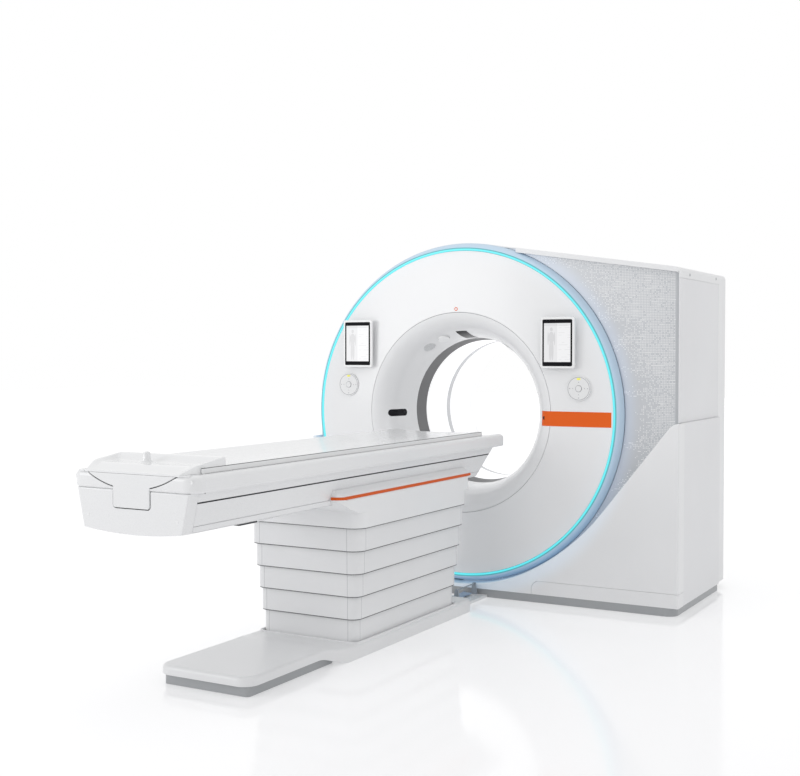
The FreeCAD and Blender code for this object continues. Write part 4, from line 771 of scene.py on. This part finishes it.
# Painted shade: the upper groove's faces take the near-black finish to read as a shadowed line; the lower groove
# keeps the hull white.
for height, half, dark in ((0.808, 0.0030, 1), (0.721, 0.0018, 0)):
    for z in (height - half, height + half):
        cut_across(bm, 2, z)
    band = []
    for face in bm.faces:
        middle = face.calc_center_median()
        if (abs(middle.z - height) < half * 0.9 and abs(face.normal.x) > 0.9
                and face.normal.x * middle.x > 0 and abs(middle.x) > HULL_INSIDE):
            band.append(face)
    pushed = corners_in(bmesh.ops.extrude_face_region(bm, geom=band))
    bmesh.ops.delete(bm, geom=band, context="FACES")
    for corner in pushed:
        corner.co.x -= GROOVE_DEPTH if corner.co.x > 0 else -GROOVE_DEPTH
    for face in {face for corner in pushed for face in corner.link_faces}:
        face.material_index = dark
bmesh.ops.recalc_face_normals(bm, faces=bm.faces)
place_piece(bm, "hull_trough", [hull_white, dark_gap], "table_head", "cover_white", "hull_shell")


# Foot end of the hull ------------------------------------------------------------
# The rim wraps the foot end as one bumper over a separate end panel, whose lower edge
# bulges down. Both are cut away for the smile-shaped grip that slides with the top.
GRIP_GAP, GAP_SHADE_OUT = 0.004, 0.0036
SMILE_R, SMILE_SAG = 0.425, 0.056
TAB_HALF, TAB_LOW = 0.088, 0.780
board_low, board_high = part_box("tabletop")
smile_z = board_low.z - SMILE_SAG + SMILE_R


def joined_rings(rings):
    """Closed solid through a row of matching rings of points."""
    bm = bmesh.new()
    rows = [[bm.verts.new(point) for point in ring] for ring in rings]
    for near, far in zip(rows, rows[1:]):
        for i in range(len(near)):
            bm.faces.new((near[i - 1], near[i], far[i], far[i - 1]))
    bm.faces.new(rows[0])
    bm.faces.new(rows[-1])
    bmesh.ops.recalc_face_normals(bm, faces=bm.faces)
    return bm


def smile_shape(gap, y0, y1):
    """Round part of the grip's outline as a solid between two depths."""
    bm = bmesh.new()
    bmesh.ops.create_cone(bm, cap_ends=True, segments=160, radius1=SMILE_R + gap, radius2=SMILE_R + gap,
                          depth=y1 - y0, matrix=Matrix.Translation((0, (y0 + y1) / 2, smile_z)) @ FACING)
    return bm


def tab_shape(gap, y0, y1, top=0.95):
    """Square part of the grip's outline, with its lower corners rounded."""
    bm = block(-TAB_HALF - gap, TAB_HALF + gap, y0, y1, TAB_LOW - gap, top)
    round_edges(bm, 0.016, lambda e: all(v.co.z < 0.85 for v in e.verts)
                and abs(e.verts[0].co.x - e.verts[1].co.x) < 1e-5, segments=6)
    return bm


RIM_INSIDE, RIM_LOW = 0.266, 0.846
TOP_R, UNDER_R = 0.022, 0.013
section = [(RIM_INSIDE, rim_top)]
section += [(rim_half - TOP_R + TOP_R * sin(a), rim_top - TOP_R + TOP_R * cos(a)) for a in quarter(6)]
section += [(rim_half - UNDER_R + UNDER_R * cos(a), 0.859 - UNDER_R * sin(a)) for a in quarter(6)]
section += [(RIM_INSIDE, RIM_LOW)]
rings = []
for side in (1, -1):
    for a in quarter(10):
        way = a if side > 0 else a + pi / 2
        out = rim_half - RIM_CORNER
        rings.append([(side * out + (x - out) * cos(way), corner_y - (x - out) * sin(way), z) for x, z in section])
bm = joined_rings(rings)
front_y, past_y = cap_low.y - 0.1, corner_y + 0.1
bm = boolean(bm, smile_shape(GRIP_GAP, front_y, past_y), "DIFFERENCE")
place_piece(bm, "foot_bumper", hull_white, "table_head", "cover_white")

BULGE, PANEL_TOP = 0.016, 0.8462
slope = (0.270 - 0.238) / (0.842 - hull_low.z)
base_half = 0.2378
panel_y = cap_low.y + 0.004
top_half = base_half + slope * (PANEL_TOP - hull_low.z)
belly = [(base_half * i / 12, hull_low.z + 0.002 - BULGE * (1 - (i / 12) ** 2)) for i in range(-12, 13)]
bm = bmesh.new()
bm.faces.new([bm.verts.new((x, panel_y, z)) for x, z in belly + [(top_half, PANEL_TOP), (-top_half, PANEL_TOP)]])
made = bmesh.ops.extrude_face_region(bm, geom=bm.faces[:])
bmesh.ops.translate(bm, vec=(0, corner_y - panel_y, 0), verts=corners_in(made))
bmesh.ops.recalc_face_normals(bm, faces=bm.faces)
round_edges(bm, 0.006, lambda e: all(v.co.y < panel_y + 0.0005 for v in e.verts), segments=4)
bm = boolean(bm, smile_shape(GRIP_GAP, front_y, past_y), "DIFFERENCE")
bm = boolean(bm, tab_shape(GRIP_GAP, front_y, past_y), "DIFFERENCE")
place_piece(bm, "foot_panel", hull_white, "table_head", "cover_white", "hull_end_cap")

bm = bmesh.new()
for x, z in ((-0.277, 0.889), (0.277, 0.889), (-0.215, 0.745), (0.215, 0.742)):
    y = cap_low.y + (0.0006 if z > 0.85 else 0.004)
    if abs(x) > 0.245 and z > 0.85:
        y = corner_y - (RIM_CORNER ** 2 - (abs(x) - (rim_half - RIM_CORNER)) ** 2) ** 0.5
    small_disc(bm, x, y + 0.0005, z, 0.0075, 0.0016, dome=0.3)
place_piece(bm, "foot_screws", tablet_white, "table_head", "cover_white")

bm = merged_copy("tabletop_end_grip")
round_edges(bm, 0.0025)
place_piece(bm, "end_grip", hull_white, "tabletop", "cover_white", "tabletop_end_grip")
# Painted shade: a near-black plate just behind the grip's gap, slightly larger than the grip, makes the gap read as a
# dark line.
behind = (cap_low.y + 0.008, cap_low.y + 0.0135)
below_board = block(-0.3, 0.3, cap_low.y, cap_low.y + 0.05, 0.8, board_low.z - 0.0005)
bm = boolean(smile_shape(GAP_SHADE_OUT, *behind), below_board, "INTERSECT")
bm = boolean(bm, tab_shape(GAP_SHADE_OUT, behind[0] + 0.0002, behind[1] - 0.0002, 0.88), "UNION")
place_piece(bm, "grip_gap_shade", dark_gap, "tabletop", "cover_white")


# Belly of the hull ---------------------------------------------------------------
# Shallow crowned covers under the hull: one at the foot end, then a latch gap, and a
# deeper fairing that hides the lift and runs back to the head cover.
def crowned(y0, y1, depth_at):
    """Closed dish under the hull, deepest on the centre line."""
    bm = bmesh.new()
    bmesh.ops.create_grid(bm, x_segments=24, y_segments=16, size=0.5, matrix=Matrix.Translation((0, 0.5, 0)))
    for corner in bm.verts:
        share = corner.co.y
        across = corner.co.x * 2
        corner.co = (across * base_half, y0 + (y1 - y0) * share,
                     hull_low.z + 0.002 - depth_at(share) * (1 - across ** 4))
    made = bmesh.ops.extrude_face_region(bm, geom=bm.faces[:])
    for corner in corners_in(made):
        corner.co.z = hull_low.z + 0.003
    bmesh.ops.recalc_face_normals(bm, faces=bm.faces)
    return bm


LATCH_FOOT, LATCH_HEAD = -3.000, -2.885
bm = crowned(corner_y, LATCH_FOOT, lambda s: BULGE - 0.002 * s)
place_piece(bm, "belly_cover", hull_white, "table_head", "cover_white")
bm = crowned(LATCH_HEAD, -2.30, lambda s: 0.030 * min(1.0, s * 8) ** 0.5 * (1 - 0.75 * s))
place_piece(bm, "belly_fairing", hull_white, "table_head", "cover_white")
# Painted shade: a near-black block fills the latch gap between the belly covers, standing in for the shade inside it.
bm = block(-0.225, 0.225, LATCH_FOOT, LATCH_HEAD, hull_low.z - 0.008, hull_low.z + 0.002)
place_piece(bm, "belly_gap", dark_gap, "table_head", "cover_white")


# Tabletop and its tray -----------------------------------------------------------
# Dished carbon-fibre board in white gelcoat with an accessory rail let into each
# edge, and a glossy moulded tray with raised walls and a post at its foot end.
tray_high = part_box("tabletop_tray")[1]
TAPER = 0.105
RAIL_IN, RAIL_OUT, RAIL_LOW, RAIL_TOP = 0.2612, 0.2638, 0.9122, 0.9312
STRIP_FACE = 0.2624
board_white = moulded("board_gelcoat", (0.80, 0.805, 0.815), roughness=0.27, drift=0.012, texture=0.02, coat=0.2)
rail_white = moulded("rail_white", (0.82, 0.825, 0.83), roughness=0.3)
bm = merged_copy("tabletop")
cut_across(bm, 1, cap_low.y + TAPER + 0.004, facing=-1, clear=True)
round_edges(bm, 0.002, sharper=40)
place_piece(bm, "board", board_white, "tabletop", "carbon_white", "tabletop")
# Painted shade: thin near-black strips above and below each rail stand in for the shadow in the gaps along it.
strips, rails = bmesh.new(), bmesh.new()
for side in (-1, 1):
    for bm, out, z0, z1 in ((strips, STRIP_FACE, RAIL_TOP, RAIL_TOP + 0.0020),
                            (strips, STRIP_FACE, RAIL_LOW - 0.0022, RAIL_LOW),
                            (rails, RAIL_OUT, RAIL_LOW, RAIL_TOP)):
        x0, x1 = sorted((side * RAIL_IN, side * out))
        part = block(x0, x1, -3.275, board_high.y - 0.003, z0, z1)
        if bm is rails:
            round_edges(part, 0.0008, segments=2)
        take_in(bm, part)
place_piece(strips, "rail_shadow_gap", dark_gap, "tabletop", "carbon_white")
place_piece(rails, "accessory_rails", rail_white, "tabletop", "carbon_white")


def eased(value, start, end):
    """Smooth step from 0 at start to 1 at end."""
    share = min(1.0, max(0.0, (value - start) / (end - start)))
    return share * share * (3 - 2 * share)


def tray_half(in_foot):
    """Half width of the tray, which narrows to the grip at the foot end."""
    return 0.2603 - 0.042 * (1 - eased(in_foot, -0.05, TAPER))


tray_gloss = moulded("tray_gloss", (0.83, 0.835, 0.845), roughness=0.09, drift=0.01, texture=0.005, coat=0.6)
TRAY_CORNER, TRAY_UNDER = 0.022, 0.9068
BED_Z, LIP_Z, CREST_Z = 0.9375, 0.9135, tray_high.z - 0.014
bm = bmesh.new()
bmesh.ops.create_grid(bm, x_segments=72, y_segments=56, size=0.5, matrix=Matrix.Translation((0, 0.5, 0)))
tray_foot, tray_len = cap_low.y + 0.002, tray_high.y - cap_low.y - 0.002
for corner in bm.verts:
    share, across = (1 - cos(pi * corner.co.y)) / 2, sin(pi * corner.co.x)
    in_back, in_foot = (1 - share) * tray_len, share * tray_len
    wide = tray_half(in_foot)
    in_side = (1 - abs(across)) * wide
    ground = LIP_Z + (BED_Z - LIP_Z) * eased(in_foot, -0.015, 0.085)
    rise = (CREST_Z - BED_Z) * min(1.0, in_foot / 0.225) ** 1.15
    side_wall = min(eased(in_side, -0.001, 0.006), eased(in_side, 0.046, 0.012))
    back_wall = min(eased(in_back, -0.001, 0.012), eased(in_back, 0.092, 0.030))
    height = ground + rise * max(side_wall * eased(in_back, -0.001, 0.012), back_wall * eased(in_side, -0.001, 0.006))
    edge = min(eased(in_side, -0.0015, 0.004), eased(in_back, -0.0015, 0.004))
    x, y = across * wide, tray_foot + tray_len * share
    over_x, over_y = abs(x) - wide + TRAY_CORNER, y - tray_high.y + TRAY_CORNER
    if over_x > 0 and over_y > 0:
        pull = max(over_x, over_y) / hypot(over_x, over_y)
        x -= (1 if x > 0 else -1) * over_x * (1 - pull)
        y -= over_y * (1 - pull)
    corner.co = (x, y, LIP_Z - 0.002 + (height - LIP_Z + 0.002) * edge)
made = bmesh.ops.extrude_face_region(bm, geom=bm.faces[:])
for corner in corners_in(made):
    corner.co.z = TRAY_UNDER
bmesh.ops.recalc_face_normals(bm, faces=bm.faces)
place_piece(bm, "foot_tray", tray_gloss, "tabletop", "tray_gloss", "tabletop_tray")

WEB_OUT = 0.2675
webs = bmesh.new()
for side in (-1, 1):
    plan = [(WEB_OUT, cap_low.y + TAPER), (WEB_OUT, cap_low.y + 0.010), (tray_half(0) + 0.002, cap_low.y + 0.0008)]
    plan += [(tray_half(d) + 0.002, cap_low.y + max(d, 0.0012)) for d in [TAPER * i / 10 for i in range(11)]]
    take_in(webs, joined_rings([[(side * x, y, z) for x, y in plan] for z in (TRAY_UNDER, rim_top - 0.0004)]))
place_piece(webs, "rim_webs", hull_white, "table_head", "cover_white")

bm = bmesh.new()
post_x, post_y = -0.050, -3.215
POST = ((0, 0.934), (0.026, 0.934), (0.021, 0.940), (0.0155, 0.950), (0.0145, 0.970), (0.012, 0.976),
        (0.007, 0.979), (0, 0.979))
corners = [bm.verts.new((post_x + r, post_y, z)) for r, z in POST]
sides = [bm.edges.new(pair) for pair in zip(corners, corners[1:])]
bmesh.ops.spin(bm, geom=corners + sides, cent=(post_x, post_y, 0), axis=(0, 0, 1), angle=2 * pi,
               steps=36, use_merge=True)
bmesh.ops.remove_doubles(bm, verts=bm.verts, dist=1e-6)
bmesh.ops.recalc_face_normals(bm, faces=bm.faces)
place_piece(bm, "tray_post", tray_gloss, "tabletop", "tray_gloss")


# Head cover and orange strips ----------------------------------------------------
# Moulded cover that carries the hull on the column: a broad shoulder each side with
# an orange strip let into the ledge above it, wrapped round the foot-end corner.
head_white = moulded("head_white", (0.80, 0.805, 0.815), roughness=0.30, drift=0.012, texture=0.03, coat=0.15)
bm = merged_copy("table_head_cover")
round_edges(bm, 0.004)
place_piece(bm, "head_shell", head_white, "table_head", "cover_white", "table_head_cover")

strip_low, strip_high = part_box("head_accent_strip")
head_low, head_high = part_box("table_head_cover")
STRIP_HALF, STRIP_IN, STRIP_OUT = 0.0062, 0.0115, 0.0052
bend_x, bend_y = head_high.x - 0.060, head_low.y + 0.060
strip_orange = moulded("strip_orange", (0.66, 0.105, 0.015), roughness=0.45, drift=0.03, texture=0.02)
tune_finish(strip_orange, Specular_IOR_Level=0.2)
strip_z = (strip_low.z + strip_high.z) / 2
rings = [[(head_high.x - inset, head_high.y - 0.004, strip_z + z) for inset, z in (
    (STRIP_IN, -STRIP_HALF), (STRIP_OUT, -STRIP_HALF), (STRIP_OUT, STRIP_HALF), (STRIP_IN, STRIP_HALF))]]
for i in range(17):
    way = radians(88) * i / 16
    grown = 0.0062 * eased(sin(way), 0.0, 0.5) - bend_x
    rings.append([(bend_x + (x + grown) * cos(way), bend_y - (x + grown) * sin(way), z) for x, y, z in rings[0]])
bm = joined_rings(rings)
bmesh.ops.mirror(bm, geom=bm.verts[:] + bm.edges[:] + bm.faces[:], axis="X", merge_dist=-1)
bmesh.ops.recalc_face_normals(bm, faces=bm.faces)
place_piece(bm, "shoulder_strips", strip_orange, "table_head", "accent_orange", "head_accent_strip")


# Telescoping column --------------------------------------------------------------
# Five nested shells that ride up with the lift, each a folded white band with a thin
# joint near every corner where its side and end panels meet.
JOINT_HALF, SHADE_LIP_DROP = 0.0012, 0.0035
shell_white = moulded("shell_white", (0.77, 0.775, 0.785), roughness=0.38, drift=0.015, texture=0.05)
joint_grey = moulded("shell_joint", (0.50, 0.505, 0.52), roughness=0.6)
# Painted shade: a dark grey lip under each shell's lower edge stands in for the shadow beneath its overhang.
wiper_grey = moulded("wiper_grey", (0.16, 0.165, 0.17), roughness=0.7)


def shade_lip(node, name, body):
    """Dark lip along the lower edge of a shell, painted shade for the shadow under the shell's overhang."""
    bm = merged_copy(node)
    floor_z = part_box(node)[0].z
    kept = [f for f in bm.faces if f.normal.z < -0.9 and abs(f.calc_center_median().z - floor_z) < 1e-4]
    bmesh.ops.delete(bm, geom=[f for f in bm.faces if f not in kept], context="FACES")
    rimmed = bmesh.ops.inset_region(bm, faces=bm.faces[:], thickness=0.0008, use_boundary=True, use_even_offset=True)
    bmesh.ops.delete(bm, geom=rimmed["faces"], context="FACES")
    made = bmesh.ops.extrude_face_region(bm, geom=bm.faces[:])
    for corner in corners_in(made):
        corner.co.z = floor_z - SHADE_LIP_DROP
    bmesh.ops.recalc_face_normals(bm, faces=bm.faces)
    place_piece(bm, name, wiper_grey, body, "cover_white")


shade_lip("table_head_cover", "head_shade_lip", "table_head")
for number in range(1, 6):
    node = "column_shell_%d" % number
    shell_low, shell_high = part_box(node)
    middle = (shell_low.y + shell_high.y) / 2
    fold = 0.070 - 0.0055 * (6 - number)
    bm = merged_copy(node)
    round_edges(bm, 0.0018, lambda e: all(v.co.z < shell_low.z + 1e-4 for v in e.verts), segments=3)
    lip = shell_high.y - middle
    for axis, at in ((0, shell_high.x - fold - 0.004), (1, lip - fold - 0.004)):
        for side in (-1, 1):
            for edge in (-JOINT_HALF, JOINT_HALF):
                cut_across(bm, axis, axis * middle + side * at + edge)
            for face in bm.faces:
                c = face.calc_center_median()
                off = (c.x if axis == 0 else c.y - middle) - side * at
                outward = face.normal.y * (c.y - middle) if axis == 0 else face.normal.x * c.x
                if abs(off) < JOINT_HALF * 0.9 and outward > 0 and abs(face.normal.z) < 0.3:
                    face.material_index = 1
    body = "root" if number == 1 else "shell_%d" % number
    place_piece(bm, "band_%d" % number, [shell_white, joint_grey], body, "cover_white", node)
    if number > 1:
        shade_lip(node, "wiper_%d" % number, body)


# Base and foot plate -------------------------------------------------------------
# One moulded skirt round the column that narrows in a soft curve to a plate at the
# foot end. The plate floats over a set-back grey plinth; the rest reaches the floor.
base_low, base_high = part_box("table_base_cover")
column_low, column_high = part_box("column_shell_1")
PLATE_HALF, BASE_HALF = 0.236, base_high.x
JOG_FOOT, JOG_HEAD = -2.460, -2.270
PLATE_TOP, BASE_TOP, PLATE_UNDER = base_high.z, 0.066, 0.043
EDGE_R, FOOT_R, HEAD_R = 0.017, 0.066, 0.050
half_plan = [(PLATE_HALF - FOOT_R + FOOT_R * sin(a), base_low.y + FOOT_R - FOOT_R * cos(a)) for a in quarter(10)]
for i in range(19):
    y = JOG_FOOT + (JOG_HEAD - JOG_FOOT) * i / 18
    half_plan.append((PLATE_HALF + (BASE_HALF - PLATE_HALF) * eased(y, JOG_FOOT, JOG_HEAD), y))
half_plan += [(BASE_HALF - HEAD_R + HEAD_R * cos(a), base_high.y - HEAD_R + HEAD_R * sin(a)) for a in quarter(10)]
normals = []
for i, (x, y) in enumerate(half_plan):
    (xa, ya), (xb, yb) = half_plan[max(0, i - 1)], half_plan[min(len(half_plan) - 1, i + 1)]
    normals.append(Vector((yb - ya, xa - xb)).normalized())
normals[0], normals[-1] = Vector((0, -1)), Vector((0, 1))


def skirt_top(y):
    return PLATE_TOP + (BASE_TOP - PLATE_TOP) * eased(y, JOG_FOOT + 0.02, JOG_HEAD)


def skirt_under(y):
    return PLATE_UNDER * (1 - eased(y, JOG_FOOT, JOG_HEAD))


bm = bmesh.new()
rows = []
levels = [(0.002, skirt_under, 0.0), (0.0, skirt_under, 0.002)]
levels += [(EDGE_R * (1 - cos(a)), skirt_top, EDGE_R * (sin(a) - 1)) for a in quarter(5)]
for inset, level_at, raised in levels:
    right = [Vector((x - normal.x * inset, y - normal.y * inset, level_at(y) + raised))
             for (x, y), normal in zip(half_plan, normals)]
    ring = right + [Vector((-p.x, p.y, p.z)) for p in reversed(right)]
    rows.append([bm.verts.new(p) for p in ring])
for lower, upper in zip(rows, rows[1:]):
    for i in range(len(lower)):
        bm.faces.new((lower[i - 1], lower[i], upper[i], upper[i - 1]))
for row in (rows[0], rows[-1]):
    for i in range(len(half_plan) - 1):
        bm.faces.new((row[i], row[i + 1], row[-2 - i], row[-1 - i]))
bmesh.ops.recalc_face_normals(bm, faces=bm.faces)


def round_column(grown, z0, z1):
    """Block that clears the lowest shell by a margin on every side."""
    return block(-(column_high.x + grown), column_high.x + grown, column_low.y - grown, column_high.y + grown, z0, z1)


bm = boolean(bm, round_column(-0.005, -0.1, 0.2), "DIFFERENCE")
base_white = moulded("base_white", (0.76, 0.765, 0.775), roughness=0.33, drift=0.015, texture=0.04, coat=0.1)
place_piece(bm, "base_skirt", base_white, "root", "cover_white", "table_base_cover")

outer, inner = round_column(0.010, 0.060, 0.0715), round_column(0.001, 0.02, 0.12)
for bead, radius in ((outer, 0.036), (inner, 0.027)):
    round_edges(bead, radius, lambda e: abs(e.verts[0].co.z - e.verts[1].co.z) > 0.005, segments=6)
bm = boolean(outer, inner, "DIFFERENCE")
round_edges(bm, 0.002, segments=2)
place_piece(bm, "column_foot_bead", base_white, "root", "cover_white")

plinth_grey = moulded("plinth_grey", (0.36, 0.372, 0.385), roughness=0.36, drift=0.03, texture=0.04)
bm = merged_copy("floor_plinths")
for corner in bm.verts:
    if corner.co.y < -2.0:
        corner.co.z = min(corner.co.z, 0.055)
round_edges(bm, 0.0015, segments=2)
place_piece(bm, "plinth_boards", plinth_grey, "root", "plinth_grey", "floor_plinths")


# Floor switch --------------------------------------------------------------------
# Plate between the table and the gantry with a hinged foot pedal, guarded by two
# tapered fins joined by a rod, so that it can't be trodden on by accident.
guard_grey = moulded("guard_grey", (0.33, 0.37, 0.42), roughness=0.35, drift=0.04)
pad_blue = moulded("pedal_blue", (0.34, 0.43, 0.58), roughness=0.5, drift=0.05, texture=0.3)
bm = merged_copy("guard_bar")
round_edges(bm, 0.0012, segments=2)
for face in bm.faces:
    face.material_index = 1 if face.calc_center_median().z < 0.0145 else 0
place_piece(bm, "switch_guard", [guard_grey, base_white], "root", "guard_grey", "guard_bar")
bm = merged_copy("floor_pedal")
round_edges(bm, 0.001, segments=2)
place_piece(bm, "switch_pedal", pad_blue, "floor_pedal", "pedal_blue", "floor_pedal")


# Frames, lift and rotating parts inside ------------------------------------------
# Welded and powder-coated steel carries everything; the drum is machined aluminium
# and turns in a ground bearing, with painted housings for the tube and detector.
def metalwork(name, colour, metallic, roughness, scratch=(1, 1, 1), bump_strength=0.12):
    """Machined, ground or coated metal with fine directional marks and soft dirt."""
    material, tree, shader, place = new_finish(name)
    lay = wire(tree, "Mapping", Vector=place, Scale=scratch).outputs[0]
    lines = wire(tree, "TexNoise", Vector=lay, Scale=45.0, Detail=4.0).outputs["Fac"]
    soil = wire(tree, "TexNoise", Vector=place, Scale=6.0, Detail=5.0).outputs["Fac"]
    bump = wire(tree, "Bump", Height=lines, Strength=bump_strength, Distance=0.0005).outputs["Normal"]
    tune(shader, Base_Color=mixed(tree, soil, (*[c * 0.86 for c in colour], 1), (*colour, 1)),
         Metallic=metallic, Roughness=remap(tree, lines, roughness - 0.08, roughness + 0.10), Normal=bump)
    return material


inner_finish = {
    "frame_steel": metalwork("powder_coated_steel", (0.36, 0.38, 0.40), 0.0, 0.5),
    "cast_grey": metalwork("painted_casting", (0.28, 0.29, 0.30), 0.0, 0.6, bump_strength=0.3),
    "rotor_aluminium": metalwork("machined_aluminium", (0.68, 0.69, 0.70), 1.0, 0.32, scratch=(1, 12, 1)),
    "bearing_steel": metalwork("ground_steel", (0.58, 0.59, 0.60), 1.0, 0.22, scratch=(1, 20, 1)),
    "tube_metal": metalwork("painted_housing", (0.46, 0.48, 0.50), 0.0, 0.42),
}
slot_of = {part["node"]: part["material_slot"] for part in frame["record"]["subparts"]}
for name, node in frame["nodes"].items():
    if not node.hide_render:
        node.data.materials.clear()
        node.data.materials.append(inner_finish.get(slot_of[name], cover_white))
